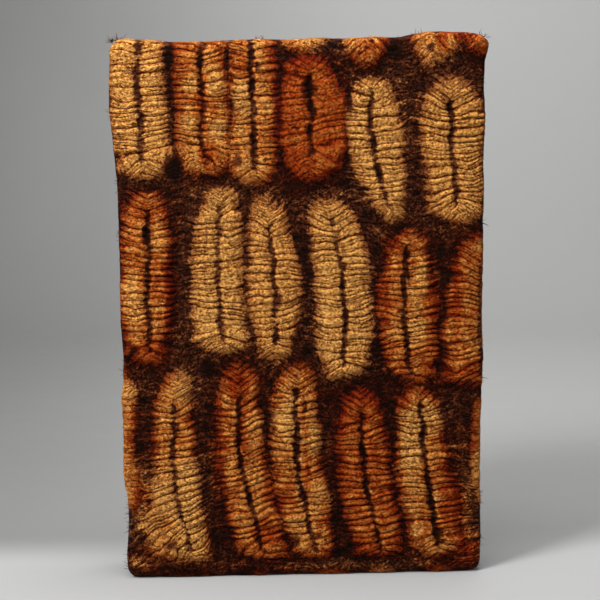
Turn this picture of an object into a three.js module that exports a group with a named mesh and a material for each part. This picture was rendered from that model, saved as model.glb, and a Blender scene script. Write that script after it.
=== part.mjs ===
// A panel of plaited raffia cloth, resist-dyed in rows of stitched puckers,
// stretched over a mitred wooden frame and standing on its lower edge.
// Millimetres, +Z up. The cloth's face looks along -Y.
// The origin is at the middle of the base of the panel's box.
import * as THREE from 'three';

// Driving sizes of the panel
const frameWidth = 300;
const frameHeight = 454.5;
const frameDepth = 38;
const barWidth = 38;
const seatGap = 0.3;
const sideThickness = 2.2;
const hemThickness = 1.6;
const hemWidth = 27;
const groundThickness = 1.6;
const reliefHeight = 5;
const cornerRadius = 9;
const innerCornerRadius = 5;
const barCornerCut = 5;
const frontEdgeRadius = 5.5;
const hemCornerRadius = 1;

const halfWidth = frameWidth / 2 + seatGap + sideThickness;
const height = frameHeight + 2 * (seatGap + sideThickness);
const frameFront = -frameDepth / 2;
const frameBack = frameDepth / 2;
const innerFront = frameFront - seatGap;
const outerFront = innerFront - groundThickness;
const innerBack = frameBack + seatGap;
const outerBack = innerBack + hemThickness;

// How far the loose cloth stands out from the straight outline, along each edge, and
// how far in from the edge it is drawn along.
const bulgeReach = 40;
const leftBulge = [
  { at: 0, out: 1.4 },
  { at: 20, out: 2.4 },
  { at: 44, out: 0.1 },
  { at: 62, out: -0.7 },
  { at: 74, out: -0.7 },
  { at: 83, out: 1.2 },
  { at: 97, out: 2.5 },
  { at: 135, out: 1.3 },
  { at: 160, out: 2.0 },
  { at: 175, out: 0 },
  { at: 199, out: 0 },
  { at: 225, out: 1.2 },
  { at: 264, out: 0.4 },
  { at: 348, out: 0.5 },
  { at: 367, out: 2.1 },
  { at: 392, out: 3.8 },
  { at: 405, out: 5.0 },
  { at: 431, out: 4.2 },
  { at: 460, out: 1.9 },
];
const rightBulge = [
  { at: 0, out: 0.7 },
  { at: 32, out: 1.5 },
  { at: 64, out: 0.4 },
  { at: 90, out: -0.7 },
  { at: 142, out: -0.5 },
  { at: 194, out: 1.5 },
  { at: 215, out: 0 },
  { at: 311, out: 0.1 },
  { at: 337, out: 0.7 },
  { at: 357, out: -0.3 },
  { at: 396, out: 0.9 },
  { at: 422, out: -0.2 },
  { at: 441, out: 0.5 },
  { at: 454, out: 3.6 },
  { at: 460, out: 2.6 },
];
const topBulge = [
  { at: -153, out: 1.6 },
  { at: -146, out: 2.6 },
  { at: -122, out: 0.8 },
  { at: -103, out: -0.9 },
  { at: -67, out: -0.4 },
  { at: -36, out: 1.0 },
  { at: -11, out: 0 },
  { at: 19, out: 1.5 },
  { at: 38, out: 0.5 },
  { at: 62, out: 2.0 },
  { at: 75, out: 1.1 },
  { at: 87, out: 1.8 },
  { at: 99, out: 4.2 },
  { at: 112, out: 5.8 },
  { at: 124, out: 4.9 },
  { at: 136, out: 4.7 },
  { at: 153, out: 1.8 },
];

// One row for each stitched pucker. Its seam runs from x = seamLow at z = low to
// x = seamHigh at z = high, bowed sideways by bow, with the puckered cloth
// reaching left and right of it.
const topRow = [
  { seamLow: 44, seamHigh: 48, bow: 0, left: 17, right: 18, low: 440, high: 590 },
  { seamLow: 112, seamHigh: 115, bow: 0, left: 17, right: 18, low: 438, high: 590 },
  { seamLow: 152, seamHigh: 154, bow: 0, left: 17, right: 18, low: 444, high: 590 },
];
const upperRow = [
  { seamLow: -134, seamHigh: -136, bow: 2, left: 22, right: 24, low: 348, high: 500 },
  { seamLow: -81, seamHigh: -82, bow: 0, left: 24, right: 22, low: 348, high: 500 },
  { seamLow: -37, seamHigh: -43, bow: 2, left: 19, right: 19, low: 342, high: 500 },
  { seamLow: 9, seamHigh: 6, bow: 2, left: 26, right: 28, low: 346, high: 447 },
  { seamLow: 68, seamHigh: 59, bow: -3, left: 22, right: 22, low: 311, high: 428 },
  { seamLow: 129, seamHigh: 124, bow: -1, left: 27, right: 26, low: 307, high: 428 },
];
const middleRow = [
  { seamLow: -128, seamHigh: -129, bow: -3, left: 24, right: 20, low: 192, high: 337 },
  { seamLow: -70, seamHigh: -67, bow: -3, left: 26, right: 21, low: 198, high: 340 },
  { seamLow: -24, seamHigh: -29, bow: 3, left: 23, right: 23, low: 192, high: 331 },
  { seamLow: 33, seamHigh: 26, bow: 7, left: 28, right: 25, low: 175, high: 330 },
  { seamLow: 94, seamHigh: 89, bow: -5, left: 21, right: 24, low: 170, high: 303 },
  { seamLow: 150, seamHigh: 152, bow: 0, left: 28, right: 28, low: 167, high: 298 },
];
const lowerRow = [
  { seamLow: -160, seamHigh: -160, bow: 0, left: 18, right: 20, low: 60, high: 185 },
  { seamLow: -96, seamHigh: -108, bow: -8, left: 25, right: 21, low: 17, high: 187 },
  { seamLow: -38, seamHigh: -54, bow: -7, left: 23, right: 25, low: 16, high: 190 },
  { seamLow: 11, seamHigh: -3, bow: -7, left: 22, right: 22, low: 17, high: 188 },
  { seamLow: 64, seamHigh: 49, bow: -5, left: 25, right: 25, low: 16, high: 165 },
  { seamLow: 113, seamHigh: 97, bow: -1, left: 26, right: 22, low: 16, high: 166 },
  { seamLow: 166, seamHigh: 166, bow: 0, left: 22, right: 20, low: 30, high: 160 },
];
const puckers = [...topRow, ...upperRow, ...middleRow, ...lowerRow];

// The flat lines of ground cloth between the rows, as heights along the width.
const lowestLine = [{ at: 0, out: frontEdgeRadius }];
const lowerLine = [
  { at: -154, out: 190 },
  { at: 1, out: 190 },
  { at: 11, out: 172 },
  { at: 154, out: 167 },
];
const upperLine = [
  { at: -154, out: 342 },
  { at: -20, out: 338 },
  { at: 41, out: 337 },
  { at: 55, out: 307 },
  { at: 154, out: 303 },
];
const topLine = [
  { at: -154, out: 447 },
  { at: 22, out: 447 },
  { at: 45, out: 433 },
  { at: 154, out: 433 },
];
const highestLine = [{ at: 0, out: height - frontEdgeRadius }];

// One row for each band of ribs between two of those lines.
const bands = [
  { from: lowestLine, to: lowerLine, row: lowerRow, ribs: 23, phase: 0 },
  { from: lowerLine, to: upperLine, row: middleRow, ribs: 20, phase: 1.7 },
  { from: upperLine, to: topLine, row: upperRow, ribs: 15, phase: 3.1 },
  { from: topLine, to: highestLine, row: [...upperRow.slice(0, 3), ...topRow], ribs: 2, phase: 4 },
];
const ribWander = 1.4;
const ribWanderLength = 23;

// How a pucker swells: lengths along and across it, and shares of its height and reach
const endTaper = 26;
const shoulderShare = 0.55;
const seamLip = 3.2;
const seamHeightShare = 0.3;
const ribValleyShare = 0.5;
const groundRipple = 0.5;
const edgeFade = 9;
const columnMargin = 1.5;

// How finely the rings round the sides are divided
const sideSteps = 28;
const endSteps = 20;
const cornerSteps = 4;

// Reads a table of {at, out} at a place, straight between its rows.
function readTable(table, at) {
  const next = table.findIndex((row) => row.at >= at);
  if (next === -1) return table[table.length - 1].out;
  if (next === 0) return table[0].out;
  const a = table[next - 1];
  const b = table[next];
  return THREE.MathUtils.mapLinear(at, a.at, b.at, a.out, b.out);
}

function seamAt(pucker, z) {
  const share = THREE.MathUtils.clamp((z - pucker.low) / (pucker.high - pucker.low), 0, 1);
  const straight = THREE.MathUtils.lerp(pucker.seamLow, pucker.seamHigh, share);
  return straight + pucker.bow * Math.sin(Math.PI * share);
}

// The rounded swell of one pucker, 0 at its rim and 1 on its crown, with the seam pulled in.
function swell(pucker, x, z) {
  const toEnd = Math.min(z - pucker.low, pucker.high - z) / endTaper;
  if (toEnd <= 0) return 0;
  const off = x - seamAt(pucker, z);
  const across = Math.abs(off) / (off < 0 ? pucker.left : pucker.right);
  if (across >= 1) return 0;
  const end = Math.sin((Math.PI / 2) * Math.min(toEnd, 1));
  const dome = Math.sqrt(Math.cos((Math.PI / 2) * across));
  const nearSeam = Math.max(0, 1 - Math.abs(off) / seamLip);
  return end * dome * (1 - (1 - seamHeightShare) * nearSeam);
}

// The relief before scaling: puckers with ribs across them, on slightly rippled ground.
function rawRelief(x, z, onRib) {
  const crown = Math.max(...puckers.map((pucker) => swell(pucker, x, z)));
  const toEdge = Math.min(halfWidth - Math.abs(x), z, height - z) - frontEdgeRadius;
  const fade = THREE.MathUtils.smoothstep(toEdge, 0, edgeFade);
  const rib = onRib ? 1 : ribValleyShare;
  return fade * (crown * rib * reliefHeight + (onRib ? groundRipple : 0));
}

// The places across the width where a band needs a line of points. The ribs on a
// seam's right side start half a rib later than those on its left.
function columnsOf(row, z) {
  const inner = halfWidth - frontEdgeRadius;
  const places = [{ x: -inner, later: false }];
  row.forEach((pucker, i) => {
    const seam = seamAt(pucker, z);
    const before = row[i - 1];
    const left = [seam - shoulderShare * pucker.left, seam - seamLip, seam];
    if (before) left.unshift((seamAt(before, z) + before.right + seam - pucker.left) / 2);
    const right = [seam + seamLip, seam + shoulderShare * pucker.right];
    places.push(...left.map((x) => ({ x, later: false })), ...right.map((x) => ({ x, later: true })));
  });
  places.push({ x: inner, later: false });
  return places;
}

// Keeps the columns that stay inside the face all the way up a band.
function keptColumns(row, low, high) {
  const inside = halfWidth - frontEdgeRadius - columnMargin;
  const samples = [low, (low + high) / 2, high].map((z) => columnsOf(row, z));
  const last = samples[0].length - 1;
  return samples[0]
    .map((_, i) => i)
    .filter((i) => i === 0 || i === last || samples.every((s) => Math.abs(s[i].x) < inside));
}

// Moves a point of the outline outwards with the loose cloth.
function bulged(x, z) {
  const sideways = THREE.MathUtils.smoothstep(Math.abs(x), halfWidth - bulgeReach, halfWidth);
  const upwards = THREE.MathUtils.smoothstep(z, height - bulgeReach, height);
  const out = readTable(x < 0 ? leftBulge : rightBulge, z);
  return { x: x + Math.sign(x) * sideways * out, z: z + upwards * readTable(topBulge, x) };
}

// A closed surface that is put together from points and triangles.
class Surface {
  constructor() {
    this.points = [];
    this.faces = [];
  }

  point(x, y, z) {
    this.points.push(x, y, z);
    return this.points.length / 3 - 1;
  }

  at(i) {
    return { x: this.points[3 * i], z: this.points[3 * i + 2] };
  }

  // Joins two lines of points, side by side, taking whichever point comes next.
  strip(a, b, placeOf) {
    let i = 0;
    let j = 0;
    while (i < a.length - 1 || j < b.length - 1) {
      const nextA = i < a.length - 1 ? placeOf(a[i + 1], i + 1, a) : Infinity;
      const nextB = j < b.length - 1 ? placeOf(b[j + 1], j + 1, b) : Infinity;
      if (nextA <= nextB) {
        this.faces.push(a[i], a[i + 1], b[j]);
        i += 1;
      } else {
        this.faces.push(a[i], b[j + 1], b[j]);
        j += 1;
      }
    }
  }

  // Joins two closed rings that have their points at the same places round the panel.
  band(a, b) {
    a.forEach((_, i) => {
      const n = (i + 1) % a.length;
      this.faces.push(a[i], a[n], b[i], a[n], b[n], b[i]);
    });
  }

  geometry() {
    const made = new THREE.BufferGeometry();
    made.setAttribute('position', new THREE.Float32BufferAttribute(this.points, 3));
    made.setIndex(this.faces);
    made.computeVertexNormals();
    return made;
  }
}

// How far round the panel a point lies: 0 to 4, anticlockwise from the lower left corner.
function placeRound({ x, z }) {
  const a = x / halfWidth;
  const b = (z - height / 2) / (height / 2);
  const m = Math.max(Math.abs(a), Math.abs(b));
  if (-b === m) return (a / m + 1) / 2;
  if (a === m) return 1 + (b / m + 1) / 2;
  if (b === m) return 2 + (1 - a / m) / 2;
  return 3 + (1 - b / m) / 2;
}

// One line of points across the face, a given share of the way up a band.
function faceLine({ from, to, row, ribs, phase }, step) {
  const share = step / (2 * ribs);
  const lineAt = (x) => THREE.MathUtils.lerp(readTable(from, x), readTable(to, x), share);
  const columns = columnsOf(row, lineAt(0));
  return keptColumns(row, readTable(from, 0), readTable(to, 0)).map((kept) => {
    const { x, later } = columns[kept];
    const wander = ribWander * Math.sin(x / ribWanderLength + phase) * Math.sin(Math.PI * share);
    const z = lineAt(x) + wander;
    return { x, z, relief: rawRelief(x, z, (step % 2 === 1) !== later) };
  });
}

// The points of the ribbed face, line by line from the bottom, and the ring round them.
function face(surface) {
  const lines = [];
  bands.forEach((band, i) => {
    // A band's last line is the next band's first, which has that band's own columns.
    const steps = i === bands.length - 1 ? 2 * band.ribs + 1 : 2 * band.ribs;
    for (let step = 0; step < steps; step += 1) lines.push({ band, points: faceLine(band, step) });
  });
  const highest = Math.max(...lines.flatMap((line) => line.points.map((p) => p.relief)));
  const rows = lines.map((line) =>
    line.points.map((p) => {
      const { x, z } = bulged(p.x, p.z);
      return surface.point(x, outerFront - (p.relief * reliefHeight) / highest, z);
    }),
  );
  const byOrder = (_, at) => at;
  const byX = (index) => surface.at(index).x;
  rows.slice(1).forEach((row, i) => {
    surface.strip(rows[i], row, lines[i].band === lines[i + 1].band ? byOrder : byX);
  });
  const middle = rows.slice(1, -1);
  const right = middle.map((row) => row[row.length - 1]);
  const left = middle.map((row) => row[0]);
  return [...rows[0], ...right, ...rows[rows.length - 1].slice().reverse(), ...left.reverse()];
}

// A ring of points round the panel at one depth, set in from the outline.
function ring(surface, { inset, radius, y, loose }) {
  const x = halfWidth - inset;
  const low = inset;
  const high = height - inset;
  const places = [];
  const straight = (x0, z0, x1, z1, steps) => {
    for (let i = 0; i < steps; i += 1) {
      places.push({ x: x0 + ((x1 - x0) * i) / steps, z: z0 + ((z1 - z0) * i) / steps });
    }
  };
  const corner = (cx, cz, from) => {
    for (let i = 0; i < cornerSteps; i += 1) {
      const angle = from + ((Math.PI / 2) * i) / cornerSteps;
      places.push({ x: cx + radius * Math.cos(angle), z: cz + radius * Math.sin(angle) });
    }
  };
  straight(-x + radius, low, x - radius, low, endSteps);
  corner(x - radius, low + radius, -Math.PI / 2);
  straight(x, low + radius, x, high - radius, sideSteps);
  corner(x - radius, high - radius, 0);
  straight(x - radius, high, -x + radius, high, endSteps);
  corner(-x + radius, high - radius, Math.PI / 2);
  straight(-x, high - radius, -x, low + radius, sideSteps);
  corner(-x + radius, low + radius, Math.PI);
  return places.map((place) => {
    const p = loose ? bulged(place.x, place.z) : place;
    return surface.point(p.x, y, p.z);
  });
}

// The whole cloth: its ribbed face, its sides, the hems turned over the back, and its inside.
function clothGeometry() {
  const surface = new Surface();
  const faceRing = face(surface);
  const rounding = frontEdgeRadius * (1 - Math.SQRT1_2);
  const sideStart = outerFront + frontEdgeRadius;
  const hemEdge = sideThickness + hemWidth;
  const backCorner = cornerRadius - hemThickness;
  const rings = [
    { inset: rounding, radius: cornerRadius, y: outerFront + rounding, loose: true },
    { inset: 0, radius: cornerRadius, y: sideStart, loose: true },
    { inset: 0, radius: cornerRadius, y: outerBack - hemThickness, loose: true },
    { inset: hemThickness, radius: backCorner, y: outerBack, loose: true },
    { inset: hemEdge, radius: hemCornerRadius, y: outerBack, loose: false },
    { inset: hemEdge, radius: hemCornerRadius, y: innerBack, loose: false },
    { inset: sideThickness, radius: innerCornerRadius, y: innerBack, loose: false },
    { inset: sideThickness, radius: innerCornerRadius, y: innerFront, loose: false },
  ].map((place) => ring(surface, place));

  // The face's own ring has many more points than the first of the side's rings.
  const first = rings[0];
  const startOf = (line) => {
    const places = line.map((i) => placeRound(surface.at(i)));
    const start = places.indexOf(Math.min(...places));
    return [...line.slice(start), ...line.slice(0, start), line[start]];
  };
  const lap = (index, at, line) => placeRound(surface.at(index)) + (at === line.length - 1 ? 4 : 0);
  surface.strip(startOf(first), startOf(faceRing), lap);
  rings.slice(1).forEach((next, i) => surface.band(next, rings[i]));

  // The flat inside of the face closes the surface.
  const last = rings[rings.length - 1];
  const outline = last.map((i) => new THREE.Vector2(surface.at(i).x, surface.at(i).z));
  THREE.ShapeUtils.triangulateShape(outline, []).forEach(([a, b, c]) => {
    surface.faces.push(last[a], last[c], last[b]);
  });
  return surface.geometry();
}

const clothMaterial = new THREE.MeshStandardMaterial({ color: '#8a5424', roughness: 0.85, metalness: 0 });
const woodMaterial = new THREE.MeshStandardMaterial({ color: '#c9a877', roughness: 0.7, metalness: 0 });

function named(name, geometry, material) {
  const mesh = new THREE.Mesh(geometry, material);
  mesh.name = name;
  return mesh;
}

// One bar of the frame, as if it were the lower one, with mitred ends and its outer corners cut.
function barGeometry(length) {
  const half = length / 2;
  const mitreGap = seatGap / 2;
  const cut = barCornerCut;
  const shape = new THREE.Shape();
  shape.moveTo(-half + cut, 0);
  shape.lineTo(half - cut, 0);
  shape.lineTo(half - cut / 2 - mitreGap, cut / 2 - mitreGap);
  shape.lineTo(half - barWidth - mitreGap, barWidth);
  shape.lineTo(-half + barWidth + mitreGap, barWidth);
  shape.lineTo(-half + cut / 2 + mitreGap, cut / 2 - mitreGap);
  shape.closePath();
  const made = new THREE.ExtrudeGeometry(shape, { depth: frameDepth, bevelEnabled: false });
  made.rotateX(Math.PI / 2);
  made.translate(0, frameBack, 0);
  return made;
}

// Places a bar: the quarter turns carry the lower bar round to its own side.
function bar(name, length, turns, x, z) {
  const mesh = named(name, barGeometry(length), woodMaterial);
  mesh.rotation.y = (-turns * Math.PI) / 2;
  mesh.position.set(x, 0, z);
  return mesh;
}

const frameLow = seatGap + sideThickness;
const frameMiddle = frameLow + frameHeight / 2;
const panel = new THREE.Group();
panel.add(
  named('raffia_cloth', clothGeometry(), clothMaterial),
  bar('frame_bar_bottom', frameWidth, 0, 0, frameLow),
  bar('frame_bar_right', frameHeight, 1, frameWidth / 2, frameMiddle),
  bar('frame_bar_top', frameWidth, 2, 0, frameLow + frameHeight),
  bar('frame_bar_left', frameHeight, 3, -frameWidth / 2, frameMiddle),
);

// Sets the origin at the middle of the base.
const box = new THREE.Box3().setFromObject(panel, true);
panel.position.set(-(box.min.x + box.max.x) / 2, -(box.min.y + box.max.y) / 2, -box.min.z);

export default panel;
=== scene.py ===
# Raffia cloth on its wooden frame: resist-dyed puckers, loose fibres, turned hem and staples.
# Lengths in the dictionaries are millimetres in the panel's own coordinates: x from its middle
# line, y from the middle of the bars' depth, z up from the base.
import math

import bpy
import numpy as np
from mathutils import Matrix, Vector


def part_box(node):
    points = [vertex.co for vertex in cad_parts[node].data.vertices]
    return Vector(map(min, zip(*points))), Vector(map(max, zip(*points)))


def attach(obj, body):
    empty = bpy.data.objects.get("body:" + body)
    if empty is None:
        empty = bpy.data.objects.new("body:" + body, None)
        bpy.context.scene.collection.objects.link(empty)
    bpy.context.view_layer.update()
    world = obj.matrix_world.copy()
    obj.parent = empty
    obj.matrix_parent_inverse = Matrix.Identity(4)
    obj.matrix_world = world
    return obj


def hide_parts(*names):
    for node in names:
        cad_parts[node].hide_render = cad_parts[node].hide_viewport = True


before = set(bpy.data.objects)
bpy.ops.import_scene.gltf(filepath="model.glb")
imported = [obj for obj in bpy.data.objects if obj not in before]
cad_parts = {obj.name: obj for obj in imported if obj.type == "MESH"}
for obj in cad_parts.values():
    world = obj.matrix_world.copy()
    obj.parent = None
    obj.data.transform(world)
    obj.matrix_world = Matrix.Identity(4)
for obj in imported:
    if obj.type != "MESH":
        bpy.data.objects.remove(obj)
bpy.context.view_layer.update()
bpy.ops.object.select_all(action="DESELECT")
scene = bpy.context.scene

# Where the panel's own coordinates lie in the frame, read from the bars.
bottomLow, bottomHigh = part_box("frame_bar_bottom")
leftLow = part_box("frame_bar_left")[0]
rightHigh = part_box("frame_bar_right")[1]
panelX = (leftLow.x + rightHigh.x) / 2
panelY = (bottomLow.y + bottomHigh.y) / 2
millimetre = 0.001

# The camera, fitted to the panel's corners in the photo.
camera = {
    "lens": 90.0,
    "sensor": 36.0,
    "azimuth": -1.73,
    "elevation": 10.35,
    "roll": -0.60,
    "distance": 1.269,
    "target": (-0.0010, -0.0140, 0.2432),
    "nearest": 0.05,
}


def makeCamera():
    azimuth, elevation = math.radians(camera["azimuth"]), math.radians(camera["elevation"])
    out = math.cos(elevation)
    back = Vector((math.sin(azimuth) * out, -math.cos(azimuth) * out, math.sin(elevation)))
    level = (-back).cross(Vector((0, 0, 1))).normalized()
    upright = level.cross(-back)
    roll = math.radians(camera["roll"])
    right = math.cos(roll) * level + math.sin(roll) * upright
    up = -math.sin(roll) * level + math.cos(roll) * upright
    place = Vector(camera["target"]) + back * camera["distance"]
    data = bpy.data.cameras.new("photo_camera")
    data.lens = camera["lens"]
    data.sensor_width = camera["sensor"]
    data.clip_start = camera["nearest"]
    made = bpy.data.objects.new("photo_camera", data)
    scene.collection.objects.link(made)
    turn = Matrix((right, up, back)).transposed().to_4x4()
    turn.translation = place
    made.matrix_world = turn
    scene.camera = made


makeCamera()
print("camera placed")


# Helpers that several pieces share.
def ease(value, low, high):
    t = np.clip((value - low) / (high - low), 0, 1)
    return t * t * (3 - 2 * t)


def patchy(u, v, size, seed):  # smooth noise, -1 to 1, with patches about size across
    cells = 96
    lattice = np.random.default_rng(seed).uniform(-1, 1, (cells, cells))
    a, b = u / size, v / size
    i, j = np.floor(a).astype(int), np.floor(b).astype(int)
    s, t = ease(a - i, 0, 1), ease(b - j, 0, 1)
    i, j = i % cells, j % cells
    k, m = (i + 1) % cells, (j + 1) % cells
    low = lattice[i, j] * (1 - s) + lattice[k, j] * s
    high = lattice[i, m] * (1 - s) + lattice[k, m] * s
    return low * (1 - t) + high * t


def toFrame(points):  # panel millimetres to metres in the frame
    return points * millimetre + np.array([panelX, panelY, 0.0])


def makeMesh(name, points, faces):
    mesh = bpy.data.meshes.new(name)
    mesh.from_pydata(points.tolist(), [], faces)
    mesh.validate()
    mesh.update()
    made = bpy.data.objects.new(name, mesh)
    scene.collection.objects.link(made)
    mesh.polygons.foreach_set("use_smooth", [True] * len(mesh.polygons))
    return made


def storeValues(piece, name, values):  # one number for each point of the mesh
    layer = piece.data.attributes.new(name, "FLOAT", "POINT")
    layer.data.foreach_set("value", np.ascontiguousarray(values, np.float32))


def storeVectors(piece, name, values):
    layer = piece.data.attributes.new(name, "FLOAT_VECTOR", "POINT")
    layer.data.foreach_set("vector", np.ascontiguousarray(values, np.float32).ravel())


# One row for each stitched pucker. The seam runs from seamLow at z = low to seamHigh at z = high,
# bowed sideways, and is sewn from seamFrom to seamTo. The drawn-up cloth reaches left and right
# of it by so much at the seam's lower end, middle and upper end, and up and down from low to
# high. red is how rust-dyed it is, seamDye how dark and wide its seam is, leanLow and leanHigh
# how steeply its ribs climb to the right at either end, and firm how sharp its creases are.
puckerColumns = (
    "name seamLow seamHigh bow leftLow left leftHigh rightLow right rightHigh"
    " low seamFrom seamTo high red seamDye leanLow leanHigh firm"
).split()
puckerRows = [
    ("T0", 4, 6, 0, 20, 20, 20, 16, 16, 16, 449, 470, 560, 590, 0.12, 0.2, 0, 0, 0.75),
    ("T1", 55, 57, 0, 19, 19, 19, 17, 17, 17, 438, 462, 560, 590, 0.12, 0.3, 0, 0, 0.9),
    ("T2", 111, 113, 0, 18, 18, 18, 17, 17, 17, 437, 462, 560, 590, 0.10, 0.2, 0, 0, 0.9),
    ("T3", 146, 148, 0, 16, 16, 16, 14, 14, 14, 446, 468, 560, 590, 0.40, 0.1, 0, 0, 0.5),
    ("A0", -186, -187, 0, 20, 20, 20, 26, 26, 26, 330, 352, 440, 470, 0.20, 0.7, 0, 0, 1),
    ("A1", -130.5, -136, 2, 22, 22, 22, 23, 19, 19, 348, 366, 500, 560, 0.02, 0.8, 0.10, 0.05, 1),
    ("A2", -81, -82, 0, 20.5, 21.5, 21, 25, 20, 19, 348, 371, 500, 560, 0.30, 0.9, 0.0, 0.0, 1),
    ("A3", -39.5, -46, 2, 18, 17, 17, 18, 21, 21, 342, 358, 500, 560, 0.22, 1.1, 0.05, 0.0, 1),
    ("A4", 7, 6, 2, 23, 27, 20, 27, 31, 19, 346, 370, 429, 447, 0.72, 0.7, 0.05, 0.1, 0.6),
    ("A5", 77, 59, -7.5, 12, 21, 16.5, 13, 25, 18.5, 311, 326, 412, 429, 0.0, 0.85, 0.12, 0.05, 0.95),
    ("A6", 131, 122.5, -1, 24, 25.5, 22, 26, 26, 26, 307, 327, 406, 428, 0.03, 0.85, 0.05, 0.0, 1),
    ("A7", 192, 194, 0, 24, 24, 24, 20, 20, 20, 315, 335, 420, 445, 0.25, 0.6, 0, 0, 1),
    ("B0", -190, -190, 0, 26, 26, 26, 24, 24, 24, 190, 215, 310, 332, 0.30, 0.7, 0, 0, 1),
    ("B1", -128, -127, -2, 20, 23.5, 20, 12.5, 18.5, 16, 192, 206, 317, 337, 0.38, 0.85, 0.08, 0.0, 1),
    ("B2", -67, -67, -3, 23.5, 22.5, 17, 20.5, 20.5, 16.5, 198, 214, 320, 340, 0.0, 0.8, 0.05, 0.05, 1),
    ("B3", -24, -29, 3, 17, 23.5, 17, 15, 22.5, 14, 192, 213, 305, 331, 0.03, 0.9, 0.0, 0.08, 0.95),
    ("B4", 33, 20, 8.5, 20.5, 25.5, 18.5, 20.5, 24, 21, 175, 190, 309, 330, 0.0, 0.75, 0.08, 0.0, 1),
    ("B5", 94, 89, -5, 17.5, 23, 16, 20.5, 25.5, 17, 170, 184, 285, 303, 0.32, 0.9, 0.08, 0.0, 1),
    ("B6", 150, 152, 0, 28, 31, 24, 28, 28, 28, 167, 180, 267, 298, 0.38, 0.6, 0.08, 0.05, 0.9),
    ("B7", 206, 206, 0, 22, 22, 22, 20, 20, 20, 175, 195, 280, 300, 0.4, 0.6, 0, 0, 1),
    ("C0", -160, -160, 0, 18, 18, 18, 17, 17, 17, 60, 80, 165, 185, 0.20, 0.2, 0.1, 0, 0.5),
    ("C1", -96, -104, -12, 40, 19.5, 16, 17, 20, 14, 17, 30, 150, 185, 0.1, 0.8, 0.5, 0.10, 1),
    ("C2", -33, -54, -10, 22, 20.5, 17, 23, 21, 18, 16, 27, 157, 190, 0.32, 0.9, 0.35, 0.08, 1),
    ("C3", 11, -3, -10, 20, 22, 20, 17.5, 22, 16, 17, 26, 166, 188, 0.24, 1.0, 0.15, 0.05, 1),
    ("C4", 67, 49, -5, 20, 25, 17, 17.5, 23, 17, 16, 25, 142, 166, 0.60, 0.9, 0.12, 0.05, 1),
    ("C5", 118, 97, -1, 26, 25.5, 17, 21, 20, 15, 16, 30, 150, 167, 0.22, 1.05, 0.10, 0.0, 1),
    ("C6", 162, 162, 0, 16, 16, 16, 20, 20, 20, 62, 80, 145, 160, 0.15, 0.2, 0.0, 0, 0.4),
    ("C7", 212, 212, 0, 22, 22, 22, 20, 20, 20, 60, 80, 150, 170, 0.4, 0.6, 0, 0, 1),
    ("D1", -100, -100, 0, 22, 22, 22, 22, 22, 22, -120, -100, -14, 3, 0.10, 0.3, 0, 0, 0.5),
    ("D2", -37, -37, 0, 21, 21, 21, 21, 21, 21, -120, -100, -14, 3, 0.20, 0.3, 0, 0, 0.5),
    ("D3", 22, 22, 0, 21, 21, 21, 21, 21, 21, -120, -100, -14, 5, 0.0, 0.3, 0, 0, 0.5),
    ("D4", 66, 66, 0, 18, 18, 18, 18, 18, 18, -120, -100, -14, 5, 0.0, 0.3, 0, 0, 0.5),
    ("D5", 120, 120, 0, 22, 22, 22, 22, 22, 22, -120, -100, -14, 3, 0.30, 0.3, 0, 0, 0.5),
]
puckers = [dict(zip(puckerColumns, row)) for row in puckerRows]

ribbing = {
    "pitch": 5.5,
    "pitchWander": 0.30,
    "vee": 0.07,  # how steeply the ribs rise from the seam to the rims
    "fanInside": 8.0,  # how far inside the seam's ends the ribs start to fan out
    "fanReach": 21.0,  # and over what length they turn to their steepest
    "fanSlope": 0.60,
    "fanWidth": 19.0,  # farther than this from the seam they climb no more
    "depth": 2.7,
    "swell": 2.5,
    "domeCurve": 0.6,
    "archCurve": 0.55,
    "seamWidth": 2.6,
    "seamFade": 9.0,  # the length over which the seam's groove runs out
    "seamPinch": 0.85,  # how much of the swell is lost in the seam, and of the ribs
    "seamSmooth": 0.6,
    "rimFade": (0.85, 1.5),  # where the ribs run out past the rim, and how much of them is lost
    "rimLoss": 0.72,
    "firmness": (0.5, 1.0),
    "weakCreases": 0.06,
    "weakFirmness": 0.18,
    "lofts": (0.7, 1.2),
    "outerSplits": 0.252,  # the share of ribs that split in two towards the rim
    "outerSplit": (0.35, 0.6),
    "innerSplits": 0.168,  # and towards the seam
    "innerSplit": (0.3, 0.55),
    "fanSplits": 0.75,
    "fanSplitDepth": 0.5,
    "fanSoftness": 0.25,
    "splitDepth": 0.55,
    "splitWidth": 0.13,
    "raggedRim": 5.0,
    "overrun": 70.0,  # creases are laid out from this far below a pucker to this far above it
    "slack": 0.45,  # a pucker less firm than this is wrinkled nearly level
    "slackSlant": 0.2,
}
# What is uneven, as layers of noise with their strength, patch size and seed.
wanders = {
    "across": ((1.0, 19, 11), (0.45, 7, 12)),
    "upwards": ((1.2, 19, 13), (0.45, 7, 14)),
    "reach": ((0.09, 13, 15),),
    "seam": ((1.0, 9, 16), (0.6, 4, 17)),
    "creases": ((1.4, 10, 21),),
    "vee": ((0.24, 34, 22),),
    "ground": ((0.45, 14, 31), (0.32, 5, 32)),
    "hemEdge": ((1.1, 31, 41), (0.5, 9, 42)),
    "rust": ((0.30, 24, 51),),
    "seamDye": ((0.35, 15, 54),),
    "spotsAcross": ((1.6, 8, 52), (0.9, 3.2, 55)),
    "spotsUpwards": ((1.8, 8, 53), (0.9, 3.2, 56)),
}


def wander(name, u, v):
    return sum(strength * patchy(u, v, size, seed) for strength, size, seed in wanders[name])


def seamPlace(p, v):
    share = np.clip((v - p["low"]) / (p["high"] - p["low"]), 0, 1)
    straight = p["seamLow"] + (p["seamHigh"] - p["seamLow"]) * share
    return straight + p["bow"] * np.sin(np.pi * share)


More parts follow.
